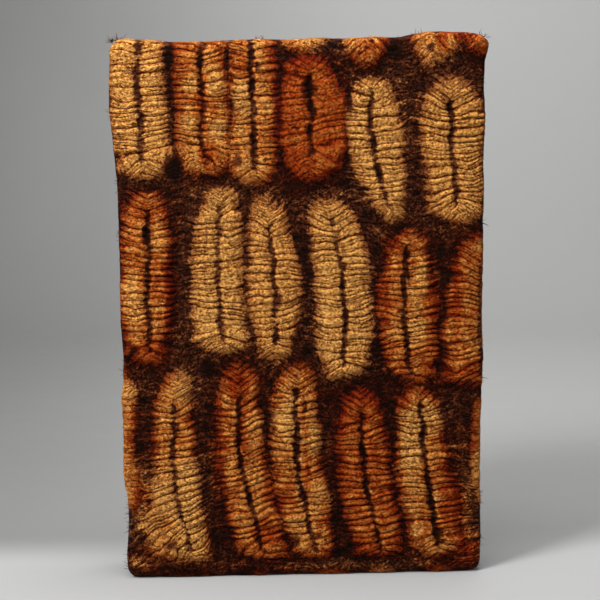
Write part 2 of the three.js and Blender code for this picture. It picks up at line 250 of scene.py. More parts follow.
def reachOf(p, v, side):  # how far the drawn-up cloth reaches to one side of the seam
    share = np.clip((v - p["seamFrom"]) / (p["seamTo"] - p["seamFrom"]), 0, 1)
    low = p[side + "Low"] * (1 - share) * (1 - 2 * share)
    high = p[side + "High"] * share * (2 * share - 1)
    return low + high + p[side] * 4 * share * (1 - share)


# For each point of the flat cloth: which pucker it belongs to, how near it is to that pucker's
# seam and rim, and where it lies among the ribs.
def puckerField(u, v):
    u = u + wander("across", u, v)
    v = v + wander("upwards", u, v)
    found = {"share": [], "off": [], "reach": [], "excess": [], "edge": []}
    for number, p in enumerate(puckers):
        off = u - seamPlace(p, v) - wander("seam", v, v * 0 + 30 * number)
        reach = np.where(off < 0, reachOf(p, v, "left"), reachOf(p, v, "right"))
        reach = reach * (1 + wander("reach", v, v * 0 + 40 * number))
        above, below = v - p["seamTo"], p["seamFrom"] - v
        excess = np.maximum(np.maximum(above, below), 0)
        length = np.where(above > 0, p["high"] - p["seamTo"], p["seamFrom"] - p["low"])
        found["share"].append(np.hypot(off / reach, excess / length))
        found["off"].append(off)
        found["reach"].append(reach)
        found["excess"].append(excess)
        found["edge"].append(np.where(excess > 0, np.minimum(reach, length), reach))
    nearest = np.array(found["share"]).argmin(0)
    own = (nearest, np.arange(len(u)))
    field = {name: np.array(rows)[own] for name, rows in found.items()}
    field["nearest"] = nearest
    field["rim"] = (1 - field["share"]) * field["edge"]
    field["seam"] = np.hypot(field["off"], field["excess"])
    addRibs(field, u, v)
    return field


# Where a point lies up its pucker once the ribs' lean is taken off, and how far the ribs are
# fanned out there: level beside the seam and splayed beyond its ends.
def upTheRibs(p, off, height, slope, drift):
    levelFrom = p["seamFrom"] + ribbing["fanInside"]
    levelTo = p["seamTo"] - ribbing["fanInside"]
    middle = np.clip(height, levelFrom, levelTo)
    fanned = np.clip(np.abs(height - middle) / ribbing["fanReach"], 0, 1)
    steep = ribbing["fanSlope"] * fanned * np.where(height > middle, 1, -1)
    share = (middle - p["seamFrom"]) / (p["seamTo"] - p["seamFrom"])
    lean = p["leanLow"] + (p["leanHigh"] - p["leanLow"]) * share
    rise = lean * off + slope * np.abs(off) * (1 - fanned)
    return height - steep * np.minimum(np.abs(off), ribbing["fanWidth"]) - rise + drift, fanned


def addRibs(field, u, v):
    count = len(u)
    for name in ("phase", "split", "lay"):
        field[name] = np.zeros(count)
    for name in ("strength", "loft"):
        field[name] = np.ones(count)
    drift, slope = wander("creases", u, v), ribbing["vee"] + wander("vee", u, v)
    halves = [(number, side) for number in range(len(puckers)) for side in (-1, 1)]
    for number, side in halves:
        own = (field["nearest"] == number) & ((field["off"] >= 0) == (side > 0))
        if not own.any():
            continue
        p, off = puckers[number], field["off"][own]
        along, fanned = upTheRibs(p, off, v[own], slope[own], drift[own])
        rng = np.random.default_rng(1000 + 10 * number + side)
        length = p["high"] - p["low"] + 2 * ribbing["overrun"]
        total = int(length / ribbing["pitch"]) + 2
        uneven = rng.uniform(-ribbing["pitchWander"], ribbing["pitchWander"], total)
        creases = p["low"] - ribbing["overrun"] + np.cumsum(ribbing["pitch"] * (1 + uneven))
        place = np.interp(along, creases, np.arange(total))
        rib, crease = np.floor(place).astype(int), np.rint(place).astype(int)
        firm = rng.uniform(*ribbing["firmness"], total + 1)
        firm[rng.uniform(0, 1, total + 1) < ribbing["weakCreases"]] = ribbing["weakFirmness"]
        loft = rng.uniform(*ribbing["lofts"], total + 1)[rib]
        fork = rng.uniform(0, 1, total + 1)[rib]
        far = np.abs(off) / field["reach"][own]
        outer = ease(far, *ribbing["outerSplit"]) * (fork < ribbing["outerSplits"])
        inner = (1 - ease(far, *ribbing["innerSplit"])) * (fork > 1 - ribbing["innerSplits"])
        splayed = fanned * (fork < ribbing["fanSplits"]) * ribbing["fanSplitDepth"]
        if p["firm"] < ribbing["slack"]:
            along = v[own] + ribbing["slackSlant"] * u[own]
        field["phase"][own], field["lay"][own], field["loft"][own] = place, along, loft
        field["strength"][own] = p["firm"] * firm[crease] * (1 - ribbing["fanSoftness"] * fanned)
        field["split"][own] = p["firm"] * np.maximum(outer + inner, splayed)
        field["rim"][own] += ribbing["raggedRim"] * (loft - sum(ribbing["lofts"]) / 2)


# The height of the relief over the bare cloth, in two parts: the swell of a pucker and its ribs.
def reliefOf(field, u, v):
    dome = (1 - np.clip(field["share"], 0, 1) ** 2) ** ribbing["domeCurve"]
    seamEnd = 1 - ease(field["excess"], 0, ribbing["seamFade"])
    groove = np.exp(-((field["off"] / ribbing["seamWidth"]) ** 2)) * seamEnd
    part = field["phase"] - np.floor(field["phase"])
    arch = 1 - field["strength"] * (1 - (4 * part * (1 - part)) ** ribbing["archCurve"])
    dent = np.exp(-(((part - 0.5) / ribbing["splitWidth"]) ** 2))
    arch = arch - ribbing["splitDepth"] * field["split"] * dent
    envelope = 1 - ribbing["rimLoss"] * ease(field["share"], *ribbing["rimFade"])
    swell = ribbing["swell"] * dome * (1 - ribbing["seamPinch"] * groove)
    ribs = ribbing["depth"] * field["loft"] * arch * envelope
    ribs = ribs * (1 - ribbing["seamSmooth"] * groove)
    return swell + wander("ground", u, v), ribs


cloth = {
    "halfWidth": 152.5,
    "height": 459.5,
    "faceFront": -20.9,  # the bare cloth's outer face
    "innerFront": -19.3,  # its inside, just off the bars
    "hemBack": 20.9,
    "hemInside": 19.3,
    "sideThickness": 2.2,
    "hemWidth": 27.0,
    "edgeRadius": 5.5,
    "cornerRadius": 9.0,
    "backRadius": 1.6,
    "crest": 5.0,  # the greatest relief
    "columns": 148,
    "rows": 392,
    "bulgeReach": 40.0,
    "edgeSwell": 0.35,  # the share of the swell that is left at the face's edge, and of the ribs
    "edgeRibs": 0.45,
    "edgeFade": 10.0,
    "sideRelief": 0.36,  # the share of the relief on the sides, at the back bend and on the hem
    "bendRelief": 0.3,
    "hemRelief": 0.12,
    "sideSeat": 0.5,
    "hemSeat": 1.0,
    "hollowFrom": 0.52,  # relief above this is hollow behind
    "hollowShare": 0.85,
    "clearOfBars": (40.0, 46.0),  # where, in from the outline, the hollows start behind the face
    "floorGap": 0.05,
    "flat": (0.4710, 0.6680),
}
# How far the loose cloth stands out from the straight outline, as places and distances.
leftBulge = (
    (0, 20, 44, 62, 74, 83, 97, 135, 160, 175, 199, 225, 264, 348, 367, 392, 405, 431, 460),
    (1.4, 2.4, 0.1, -0.7, -0.7, 1.2, 2.5, 1.3, 2.0, 0, 0, 1.2, 0.4, 0.5, 2.1, 3.8, 5.0, 4.2, 1.9),
)
rightBulge = (
    (0, 32, 64, 90, 142, 194, 215, 311, 337, 357, 396, 422, 441, 454, 460),
    (0.7, 1.5, 0.4, -0.7, -0.5, 1.5, 0, 0.1, 0.7, -0.3, 0.9, -0.2, 0.5, 3.6, 2.6),
)
topBulge = (
    (-153, -146, -122, -103, -67, -36, -11, 19, 38, 62, 75, 87, 99, 112, 124, 136, 153),
    (1.6, 2.6, 0.8, -0.9, -0.4, 1.0, 0, 1.5, 0.5, 2.0, 1.1, 1.8, 4.2, 5.8, 4.9, 4.7, 1.8),
)


def bulged(x, z, weight):
    half, high, reach = cloth["halfWidth"], cloth["height"], cloth["bulgeReach"]
    sideways = ease(np.abs(x), half - reach, half) * weight
    upwards = ease(z, high - reach, high) * weight
    out = np.where(x < 0, np.interp(z, *leftBulge), np.interp(z, *rightBulge))
    return x + np.sign(x) * sideways * out, z + upwards * np.interp(x, *topBulge)


# The flat grid of the face, with its corners drawn in to their radius.
def faceGrid(columns, rows, inset, radius):
    half, high = cloth["halfWidth"] - inset, cloth["height"] - inset
    x = np.linspace(-half, half, columns + 1)
    z = np.linspace(inset, high, rows + 1)
    gridX, gridZ = (part.ravel() for part in np.meshgrid(x, z))
    coreX = np.clip(gridX, -half + radius, half - radius)
    coreZ = np.clip(gridZ, inset + radius, high - radius)
    dx, dz = gridX - coreX, gridZ - coreZ
    long = np.hypot(dx, dz)
    scale = np.maximum(np.abs(dx), np.abs(dz)) / np.maximum(long, 1e-9)
    corner = (np.abs(dx) > 0) & (np.abs(dz) > 0)
    scale = np.where(corner, scale, 1)
    return np.stack([coreX + dx * scale, coreZ + dz * scale], 1)


def gridFaces(columns, rows, start, flip=False):
    faces = []
    for row in range(rows):
        for column in range(columns):
            a = start + row * (columns + 1) + column
            b, c, d = a + 1, a + columns + 2, a + columns + 1
            faces.append((a, d, c, b) if flip else (a, b, c, d))
    return faces


def gridEdge(columns, rows):  # the grid's outer points, anticlockwise from the lower left
    across = columns + 1
    low = list(range(columns))
    right = [i * across + columns for i in range(rows)]
    high = [rows * across + i for i in range(columns, 0, -1)]
    left = [i * across for i in range(rows, 0, -1)]
    return np.array(low + right + high + left)


def bandFaces(a, b, flip=False):
    faces, count = [], len(a)
    for i in range(count):
        n = (i + 1) % count
        faces.append((a[i], b[i], b[n], a[n]) if flip else (a[i], a[n], b[n], b[i]))
    return faces


class Sheet:  # the cloth as it grows: its points, their places on the flat cloth, and its faces
    def __init__(self):
        self.points, self.flat, self.faces, self.count = [], [], [], 0

    def add(self, points, flat):
        first = self.count
        self.points.append(points)
        self.flat.append(flat)
        self.count += len(points)
        return np.arange(first, self.count)


def makeFace(sheet):
    columns, rows, inset = cloth["columns"], cloth["rows"], cloth["edgeRadius"]
    flat = faceGrid(columns, rows, inset, cloth["cornerRadius"] - inset)
    u, v = flat[:, 0], flat[:, 1]
    field = puckerField(u, v)
    swell, ribs = reliefOf(field, u, v)
    toEdge = np.minimum(cloth["halfWidth"] - np.abs(u), np.minimum(v, cloth["height"] - v))
    leastSwell, leastRibs = cloth["edgeSwell"], cloth["edgeRibs"]
    fade = leastSwell + (1 - leastSwell) * ease(toEdge - inset, 0, cloth["edgeFade"])
    relief = swell * fade + ribs * (leastRibs + (1 - leastRibs) * fade)
    lift = cloth["crest"] / np.percentile(relief, 99.95)  # a stray peak or two may stand higher
    x, z = bulged(u, v, 1.0)
    sheet.add(np.stack([x, cloth["faceFront"] - relief * lift, z], 1), flat)
    sheet.faces += gridFaces(columns, rows, 0)
    return flat, field, relief * lift, lift


# The rings round the edge, along the sides and on to the back: distance in from the outline,
# depth, length along the cloth from the face's grid, share of the relief, and turn.
def sideRings():
    rings, radius, bend = [], cloth["edgeRadius"], cloth["backRadius"]
    front, back = cloth["faceFront"], cloth["hemBack"] - bend
    for step in range(1, 5):
        turn = step * math.pi / 8
        depth = front + radius * (1 - math.cos(turn))
        share = 1 - (1 - cloth["sideRelief"]) * step / 4
        rings.append((radius * (1 - math.sin(turn)), depth, radius * turn, share, turn))
    start, run = front + radius, radius * math.pi / 2
    for step in range(1, 9):
        gone = (back - start) * step / 8
        rings.append((0.0, start + gone, run + gone, cloth["sideRelief"], math.pi / 2))
    run += back - start
    for step in (1, 2):
        turn = step * math.pi / 4
        inset, depth = bend * (1 - math.cos(turn)), back + bend * math.sin(turn)
        rings.append((inset, depth, run + bend * turn, cloth["bendRelief"], math.pi / 2 + turn))
    return rings, run + bend * math.pi / 2


def ringPoints(edge, outward, inset, depth):
    place = edge + outward * (cloth["edgeRadius"] - np.reshape(inset, (-1, 1)))
    return np.stack([place[:, 0], np.full(len(edge), depth), place[:, 1]], 1)


def outwardOf(edge):
    half, high, radius = cloth["halfWidth"], cloth["height"], cloth["cornerRadius"]
    coreX = np.clip(edge[:, 0], -half + radius, half - radius)
    away = edge - np.stack([coreX, np.clip(edge[:, 1], radius, high - radius)], 1)
    return away / np.maximum(np.linalg.norm(away, axis=1, keepdims=True), 1e-9)


def makeSides(sheet, edge, outward, last, lift):
    rings, run = sideRings()
    level = cloth["sideRelief"]
    for inset, depth, along, share, turn in rings:
        ring = ringPoints(edge, outward, inset, depth)
        flat = edge + outward * along
        swell, ribs = reliefOf(puckerField(flat[:, 0], flat[:, 1]), flat[:, 0], flat[:, 1])
        domed = cloth["edgeSwell"] * max(0, share - level) / (1 - level)
        stand = lift * (swell * domed + ribs * share) - cloth["sideSeat"] * share
        x, z = bulged(ring[:, 0], ring[:, 2], 1.0)
        ring[:, 0] = x + outward[:, 0] * stand * math.sin(turn)
        ring[:, 2] = z + outward[:, 1] * stand * math.sin(turn)
        ring[:, 1] -= stand * math.cos(turn)
        here = sheet.add(ring, flat)
        sheet.faces += bandFaces(last, here, flip=True)
        last = here
    return last, run


# The rings of the hem, its raw edge and the inside of the sides: distance in, depth, length
# along the cloth, share of the loose bulge, of the relief and of the raw edge's waviness.
def hemRings(run):
    side, bend, inside = cloth["sideThickness"], cloth["backRadius"], cloth["hemInside"]
    end = side + cloth["hemWidth"]
    rings = []
    for step in range(1, 9):
        at = bend + (end - bend) * step / 8
        rings.append((at, cloth["hemBack"], run + at, 1 - step / 8, cloth["hemRelief"], step / 8))
    for step in range(3):
        at = end + (side - end) * step / 2
        rings.append((at, inside, run + at, 0.0, 0.0, 1 - step / 2))
    for step in range(1, 5):
        gone = (cloth["innerFront"] - inside) * step / 4
        rings.append((side, inside + gone, run + gone, 0.0, 0.0, 0.0))
    return rings


def halvingFaces(full, half):  # from a full ring to one with every other point
    faces = []
    for i, here in enumerate(half):
        a, b, c = full[2 * i], full[2 * i + 1], full[(2 * i + 2) % len(full)]
        onward = half[(i + 1) % len(half)]
        faces += [(a, here, b), (b, here, onward), (b, onward, c)]
    return faces


def makeHem(sheet, edge, outward, last, run):
    wave = wander("hemEdge", edge[:, 0], edge[:, 1])
    for at, depth, along, loose, share, waviness in hemRings(run):
        ring = ringPoints(edge, outward, at - wave * waviness, depth)
        flat = edge + outward * along
        if share:
            ribs = reliefOf(puckerField(flat[:, 0], flat[:, 1]), flat[:, 0], flat[:, 1])[1]
            ring[:, 1] += share * (ribs - cloth["hemSeat"])
        ring[:, 0], ring[:, 2] = bulged(ring[:, 0], ring[:, 2], loose)
        here = sheet.add(ring, flat)
        halved = len(last) > len(here)
        sheet.faces += halvingFaces(last, here) if halved else bandFaces(last, here, flip=True)
        last = here
    return last


# The inside of the face: the puckers' hollows, on a grid that ends in the last ring.
def makeInside(sheet, relief, last):
    columns, rows = cloth["columns"] // 2, cloth["rows"] // 2
    side = cloth["sideThickness"]
    flat = faceGrid(columns, rows, side, cloth["cornerRadius"] - side)
    hollow = relief.reshape(cloth["rows"] + 1, cloth["columns"] + 1)[::2, ::2].ravel()
    aside = cloth["halfWidth"] - side - np.abs(flat[:, 0])
    free = np.minimum(aside, np.minimum(flat[:, 1], cloth["height"] - flat[:, 1]) - side)
    sunk = np.maximum(hollow - cloth["hollowFrom"], 0) * cloth["hollowShare"]
    depth = cloth["innerFront"] - ease(free, *cloth["clearOfBars"]) * sunk
    kept = np.ones(len(flat), bool)
    kept[gridEdge(columns, rows)] = False
    number = np.zeros(len(flat), int)
    number[kept] = sheet.add(np.stack([flat[:, 0], depth, flat[:, 1]], 1)[kept], flat[kept])
    number[gridEdge(columns, rows)] = last
    sheet.faces += [tuple(number[list(face)]) for face in gridFaces(columns, rows, 0, flip=True)]


def makeCloth():
    sheet = Sheet()
    flat, field, relief, lift = makeFace(sheet)
    loop = gridEdge(cloth["columns"], cloth["rows"])
    edge = flat[loop]
    outward = outwardOf(edge)
    last, run = makeSides(sheet, edge, outward, loop, lift)
    last = makeHem(sheet, edge[::2], outward[::2], last, run)  # from here on at half the detail
    makeInside(sheet, relief, last)
    points = np.concatenate(sheet.points)
    points[:, 2] = np.maximum(points[:, 2], cloth["floorGap"])  # the lower edge lies on the floor
    faces = [tuple(int(i) for i in face) for face in sheet.faces]
    piece = makeMesh("raffia_sheet", toFrame(points), faces)
    storeDye(piece, np.concatenate(sheet.flat))
    return piece, flat, relief, field


# Dark spots, mostly where the brown dye pooled, as x, z, half width, half height and strength; three in
# a row at the top draw a dark line along a crease.
blots = [
    (-108, 448, 4.1, 11.3, 0.8), (-108, 413, 2.5, 7.3, 0.55), (-106, 358, 9.1, 9.9, 1),
    (-131, 400, 2, 4.1, 0.7), (-58, 409, 2, 3.3, 0.8), (-59, 447, 3.3, 11.3, 0.6),
    (-36, 439, 2.9, 4.8, 0.9), (-41, 382, 2.5, 4.9, 0.8), (-53, 363, 4.1, 7.4, 0.7),
    (-79, 350, 5.5, 3.0, 0.8), (-153, 412, 2.4, 8.1, 0.6), (-17, 404, 2.5, 36.7, 0.45),
    (-3, 434, 3.3, 4.9, 0.6), (-4, 389, 3.3, 2, 0.7), (-4, 375, 3.3, 2.1, 0.6),
    (6, 421, 7.2, 8.6, 1), (10, 403, 3.3, 8.2, 0.9), (9, 387, 2.5, 4.9, 0.7),
    (9, 370, 2.5, 4.9, 0.6), (27, 455, 4.9, 4, 0.8), (77, 451, 9, 8.9, 0.8),
    # The last spot here and the two on the next line draw a dark diagonal line along a crease.
    (113, 462, 4.4, 3.4, 1), (107, 449, 4.4, 3.2, 1), (49, 449, 3, 2, 0.9),
    (54, 453, 3, 2, 0.9), (59, 457, 3, 2, 0.9),
    (40, 409, 3.3, 7.3, 0.8), (65, 351, 3.3, 7.5, 1), (61, 376, 1.7, 8.2, 0.8),
    (124, 377, 1.7, 18.2, 0.6), (118, 413, 3.3, 8.2, 0.45), (126, 344, 2.1, 11.7, 0.5),
    (37, 341, 8.3, 6.7, 0.6), (55, 337, 4.2, 2.5, 0.7), (100, 369, 2.5, 24.8, 0.35),
    (150, 323, 3.4, 5, 0.5), (-129, 301, 3.7, 7.5, 0.95), (-145, 328, 3.3, 6.7, 0.6),
    (-130, 264, 2.1, 33.9, 0.4), (-81, 284, 1.3, 38, 0.5), (-80, 309, 1.7, 8.4, 0.35),
    (-46, 288, 2.5, 25.3, 0.7), (-46, 241, 2.1, 17.1, 0.4), (-21, 245, 3.8, 8.5, 0.85),
    (-23, 277, 2.1, 6.8, 0.6), (-4, 296, 4.2, 5.9, 0.8), (-81, 186, 9.3, 8.7, 1),
    (-143, 204, 4.2, 5.2, 0.7), (3, 287, 5.9, 16.9, 0.7), (7, 268, 4.2, 6.8, 0.6),
    (34, 257, 1.7, 6, 0.8), (35, 223, 2.1, 10.3, 0.8), (3, 226, 5.1, 4.3, 0.6),
    (3, 201, 6.8, 6.9, 0.7), (62, 200, 6.8, 12.1, 0.8), (62, 286, 5.9, 11.8, 0.6),
    (66, 269, 4.2, 10.2, 0.5), (90, 281, 2.5, 4.2, 0.8), (89, 264, 2.1, 10.2, 0.7),
    (85, 226, 2.5, 10.3, 0.8), (83, 234, 5.1, 1.3, 0.7), (83, 218, 5.1, 1.3, 0.7),
    (89, 204, 2.5, 6.9, 0.7), (117, 285, 5, 12.7, 0.6), (119, 260, 5.1, 21.3, 0.5),
    (120, 199, 3.4, 10.4, 0.6), (83, 176, 13.6, 5.2, 0.6), (54, 316, 11.7, 4.2, 0.5),
    (83, 306, 16.7, 4.2, 0.5), (116, 309, 16.8, 5, 0.5), (151, 216, 2.6, 34.6, 0.45),
    (-138, 177, 2.1, 4.3, 0.8), (-133, 160, 6.8, 3.5, 0.9), (-138, 119, 4.3, 5.3, 0.9),
    (-140, 99, 3.4, 5.3, 0.35), (-108, 136, 1.7, 4.4, 0.7), (-111, 116, 1.4, 13.3, 0.4),
    (-110, 82, 2.1, 3.6, 0.8), (-83, 135, 4.3, 6.2, 0.8), (-83, 116, 5.1, 7.1, 0.4),
    (-29, 169, 5.1, 8.7, 0.5), (-30, 143, 5.1, 7.9, 0.6), (-26, 132, 3.4, 5.3, 0.5),
    (-56, 106, 1.7, 12.4, 0.6), (-48, 70, 2.2, 7.2, 0.7), (-42, 52, 3.5, 4.5, 0.7),
    (0, 154, 2.6, 8.8, 0.7), (-4, 127, 1.7, 10.6, 0.7), (-5, 101, 1.7, 8, 0.7),
    (-1, 75, 4.3, 5.4, 0.9), (11, 37, 2.6, 4.5, 0.7), (22, 134, 5.1, 7.9, 0.7),
    (23, 87, 5.2, 22.4, 0.45), (27, 51, 6.9, 22.6, 0.5), (27, 22, 4.3, 7.3, 0.8),
    (49, 113, 3.9, 7.1, 0.95), (51, 102, 2.6, 6.2, 0.9), (53, 86, 2.2, 5.4, 0.7),
    (62, 36, 1.7, 7.3, 0.6), (78, 69, 4.3, 3.6, 0.7), (75, 152, 6, 12.3, 0.6),
    (75, 121, 3.4, 10.6, 0.35), (101, 123, 3.4, 3.5, 0.8), (108, 67, 2.6, 12.6, 0.7),
    (112, 51, 3.5, 7.2, 0.8), (116, 38, 5.2, 4.5, 0.9), (119, 30, 2.6, 2.7, 0.8),
    (129, 122, 4.3, 2.2, 0.8), (135, 88, 3.5, 2.7, 0.7), (139, 142, 7.7, 10.6, 0.5),
    (143, 169, 8.6, 7, 0.5), (-116, 31, 6.9, 4.5, 0.6), (-77, 35, 8.6, 12.7, 0.5),
    (-137, 32, 6.9, 7.2, 0.4), (-8, 33, 5.2, 9.1, 0.6), (77, 11, 8.7, 3.7, 0.5),
    (44, 14, 8.7, 3.7, 0.4), (-47, 16, 8.7, 4.6, 0.5),
]

# Ground that took less of the brown dye, as x, z, half width, half height and strength.
spared = [
    (-151, 134, 5.9, 51, 0.6), (-143, 79, 12, 23.2, 0.75), (-132, 52, 17.2, 12.6, 0.7),
    (-119, 67, 5.1, 26.9, 0.3), (-116, 18, 19, 5.5, 0.4), (-142, 16, 10.4, 7.3, 0.5),
    (-77, 11, 21.7, 3.6, 0.2), (-12, 8, 19.1, 4.6, 0.45), (27, 9, 15.7, 3.7, 0.4),
    (66, 7, 7.9, 3.7, 0.3), (151, 107, 3.5, 42.8, 0.7), (134, 67, 12.2, 30.7, 0.6),
    (140, 23, 15.7, 18.3, 0.65), (110, 8, 17.5, 4.6, 0.4), (131, 111, 10.4, 10.7, 0.2),
    (152, 242, 2.5, 51.5, 0.45), (84, 386, 13.2, 28.8, 0.2), (-80, 460, 73.1, 2.4, 0.45),
    (-99, 413, 4.9, 36.6, 0.3), (-109, 246, 4.2, 42.6, 0.3), (112, 243, 4.2, 38.6, 0.3),
    (-31, 70, 5.2, 35.9, 0.3), (-76, 98, 5.1, 44.5, 0.25), (75, 50, 5.2, 27.1, 0.4),
    (23, 122, 4.3, 35.4, 0.2), (-45, 412, 3.3, 40.7, 0.2),
]

# Where the rust dye lay thicker, or thinner where negative, in the same order.
rusts = [
    (-81, 412, 3.3, 40.6, 0.45), (-77, 370, 8.0, 9.0, 0.55), (-24, 436, 6.5, 22.6, 0.45),
    (-19, 395, 4.1, 32.7, 0.5), (-48, 446, 6.5, 14.5, 0.35), (-111, 255, 4.2, 38.3, 0.7),
    (-127, 320, 9.9, 8.3, 0.5), (-127, 204, 11.8, 6.9, 0.5), (-57, 172, 8.5, 12.2, 0.7),
    (-70, 98, 3.4, 44.5, 0.4), (-54, 124, 4.3, 35.3, 0.4), (-34, 43, 12.1, 12.7, 0.6),
    (-16, 70, 8.6, 18, 0.3), (2, 96, 2.6, 44.6, 0.3), (77, 290, 6.7, 6.8, 0.6),
    (70, 235, 4.2, 42.9, 0.35), (108, 243, 4.2, 42.9, 0.35), (130, 251, 4.2, 51.4, 0.4),
    (143, 182, 12, 12.2, 0.5), (118, 453, 4.9, 6.5, 0.6), (134, 461, 21.3, 6.4, 0.45),
    (56, 451, 8.2, 6.5, 0.4), (70, 455, 4.9, 6.4, 0.4), (75, 157, 17.1, 8.8, 0.5),
    (127, 67, 10.4, 36.1, 0.4), (140, 12, 17.5, 9.2, 0.6), (-91, 6, 69.3, 5.5, 0.6),
    (-4, 4, 78.3, 4.6, 0.3), (36, 162, 25.6, 7, 0.5), (-159, 19, 8.6, 18.1, 0.5),
    (116, 121, 10.3, 2.7, 0.6), (9, 442, 16.4, 4.8, 0.5), (-91, 425, 6.5, 8.1, -0.35),
    (-69, 420, 7.4, 11.4, -0.25), (-92, 395, 6.6, 6.5, -0.3), (-67, 392, 6.6, 9.8, -0.2),
    (-49, 419, 6.5, 11.4, -0.3), (-27, 418, 6.6, 17.9, -0.25), (-141, 247, 6.7, 34.1, -0.2),
    (-117, 297, 6.6, 16.8, -0.15), (100, 269, 6.7, 21.3, -0.25), (96, 217, 7.6, 12.1, -0.2),
    (142, 259, 6.8, 17.1, -0.2), (-41, 132, 7.7, 17.6, -0.3), (-61, 106, 7.7, 12.4, -0.2),
    (-11, 149, 6.8, 26.3, -0.3), (8, 140, 6.8, 35.2, -0.3), (92, 112, 8.6, 26.7, -0.3),
]
dyeing = {
    "blotEdge": (0.1, 1.6),  # from and to which share of its half size a spot fades out
    "spareEdge": (0.5, 1.4),
    "rustEdge": (0.3, 1.5),
    "seamOverrun": 3.0,
    "wideSeam": 3.5,  # how much wider the line of a seam dyed past full strength is
    "farthest": 30.0,
    "seamDepth": 0.8,
    "splitFade": 4.0,  # the splits of the ribs run out this far inside the rim
    "plain": 0.05,  # a pucker with less rust than this has none of its patches
    "apart": 50.0,  # keeps the grain of one pucker from running on into the next
}


def covered(u, v, spots, edge):  # how strongly each spot covers each point
    rows = []
    for x, z, wide, high, strength in spots:
        rows.append(strength * (1 - ease(np.hypot((u - x) / wide, (v - z) / high), *edge)))
    return np.array(rows)


def storeDye(piece, flat):
    u, v = flat[:, 0], flat[:, 1]
    field = puckerField(u, v)
    red = np.array([p["red"] for p in puckers])[field["nearest"]]
    red = np.clip(red + wander("rust", u, v) * (red > dyeing["plain"]) * (1 - red), 0, 1)
    spotU, spotV = u + wander("spotsAcross", u, v), v + wander("spotsUpwards", u, v)
    red = red + covered(spotU, spotV, rusts, dyeing["rustEdge"]).sum(0)
    storeValues(piece, "red", np.clip(red, 0, 1))
    storeValues(piece, "blot", covered(spotU, spotV, blots, dyeing["blotEdge"]).max(0))
    storeValues(piece, "spare", covered(spotU, spotV, spared, dyeing["spareEdge"]).max(0))

    seamDye = np.array([p["seamDye"] for p in puckers])[field["nearest"]]
    seam = np.hypot(field["off"], np.maximum(field["excess"] - dyeing["seamOverrun"], 0))
    seam = seam - dyeing["wideSeam"] * np.maximum(seamDye - 1, 0)
    storeValues(piece, "seam", np.clip(seam, 0, dyeing["farthest"]))
    depth = dyeing["seamDepth"] + wander("seamDye", u, v)
    storeValues(piece, "seamDye", np.minimum(seamDye, 1) * depth)
    storeValues(piece, "rim", np.clip(field["rim"], -dyeing["farthest"], dyeing["farthest"]))
    storeValues(piece, "split", field["split"] * np.clip(field["rim"] / dyeing["splitFade"], 0, 1))

    # The phase round each rib is kept as a direction, so that it runs on smoothly over a crease.
    turn = 2 * np.pi * field["phase"]
    storeVectors(piece, "crease", np.stack([np.cos(turn), np.sin(turn), field["strength"]], 1))
    outwards = np.where(field["off"] < 0, -field["seam"], field["seam"])
    apart = dyeing["apart"] * field["nearest"]
    storeVectors(piece, "lay", np.stack([outwards, field["lay"], apart], 1))
    uv = piece.data.uv_layers.new(name="SheetUV")
    corners = np.zeros(len(piece.data.loops), np.int32)
    piece.data.loops.foreach_get("vertex_index", corners)
    uv.data.foreach_set("uv", (flat[corners] * millimetre + 0.5).astype(np.float32).ravel())


clothPiece, faceFlat, faceRelief, faceField = makeCloth()
print("cloth", len(clothPiece.data.vertices), "points", len(clothPiece.data.polygons), "faces")


class Flow:  # a value on its way through a node tree, open to plain arithmetic
    def __init__(self, wiring, socket):
        self.wiring, self.socket = wiring, socket

    def __add__(self, other):
        return self.wiring.math("ADD", self, other)

    def __mul__(self, other):
        return self.wiring.math("MULTIPLY", self, other)

    def __sub__(self, other):
        return self.wiring.math("SUBTRACT", self, other)

    def __truediv__(self, other):
        return self.wiring.math("DIVIDE", self, other)

    def __rtruediv__(self, other):
        return self.wiring.math("DIVIDE", other, self)

    __radd__ = __add__


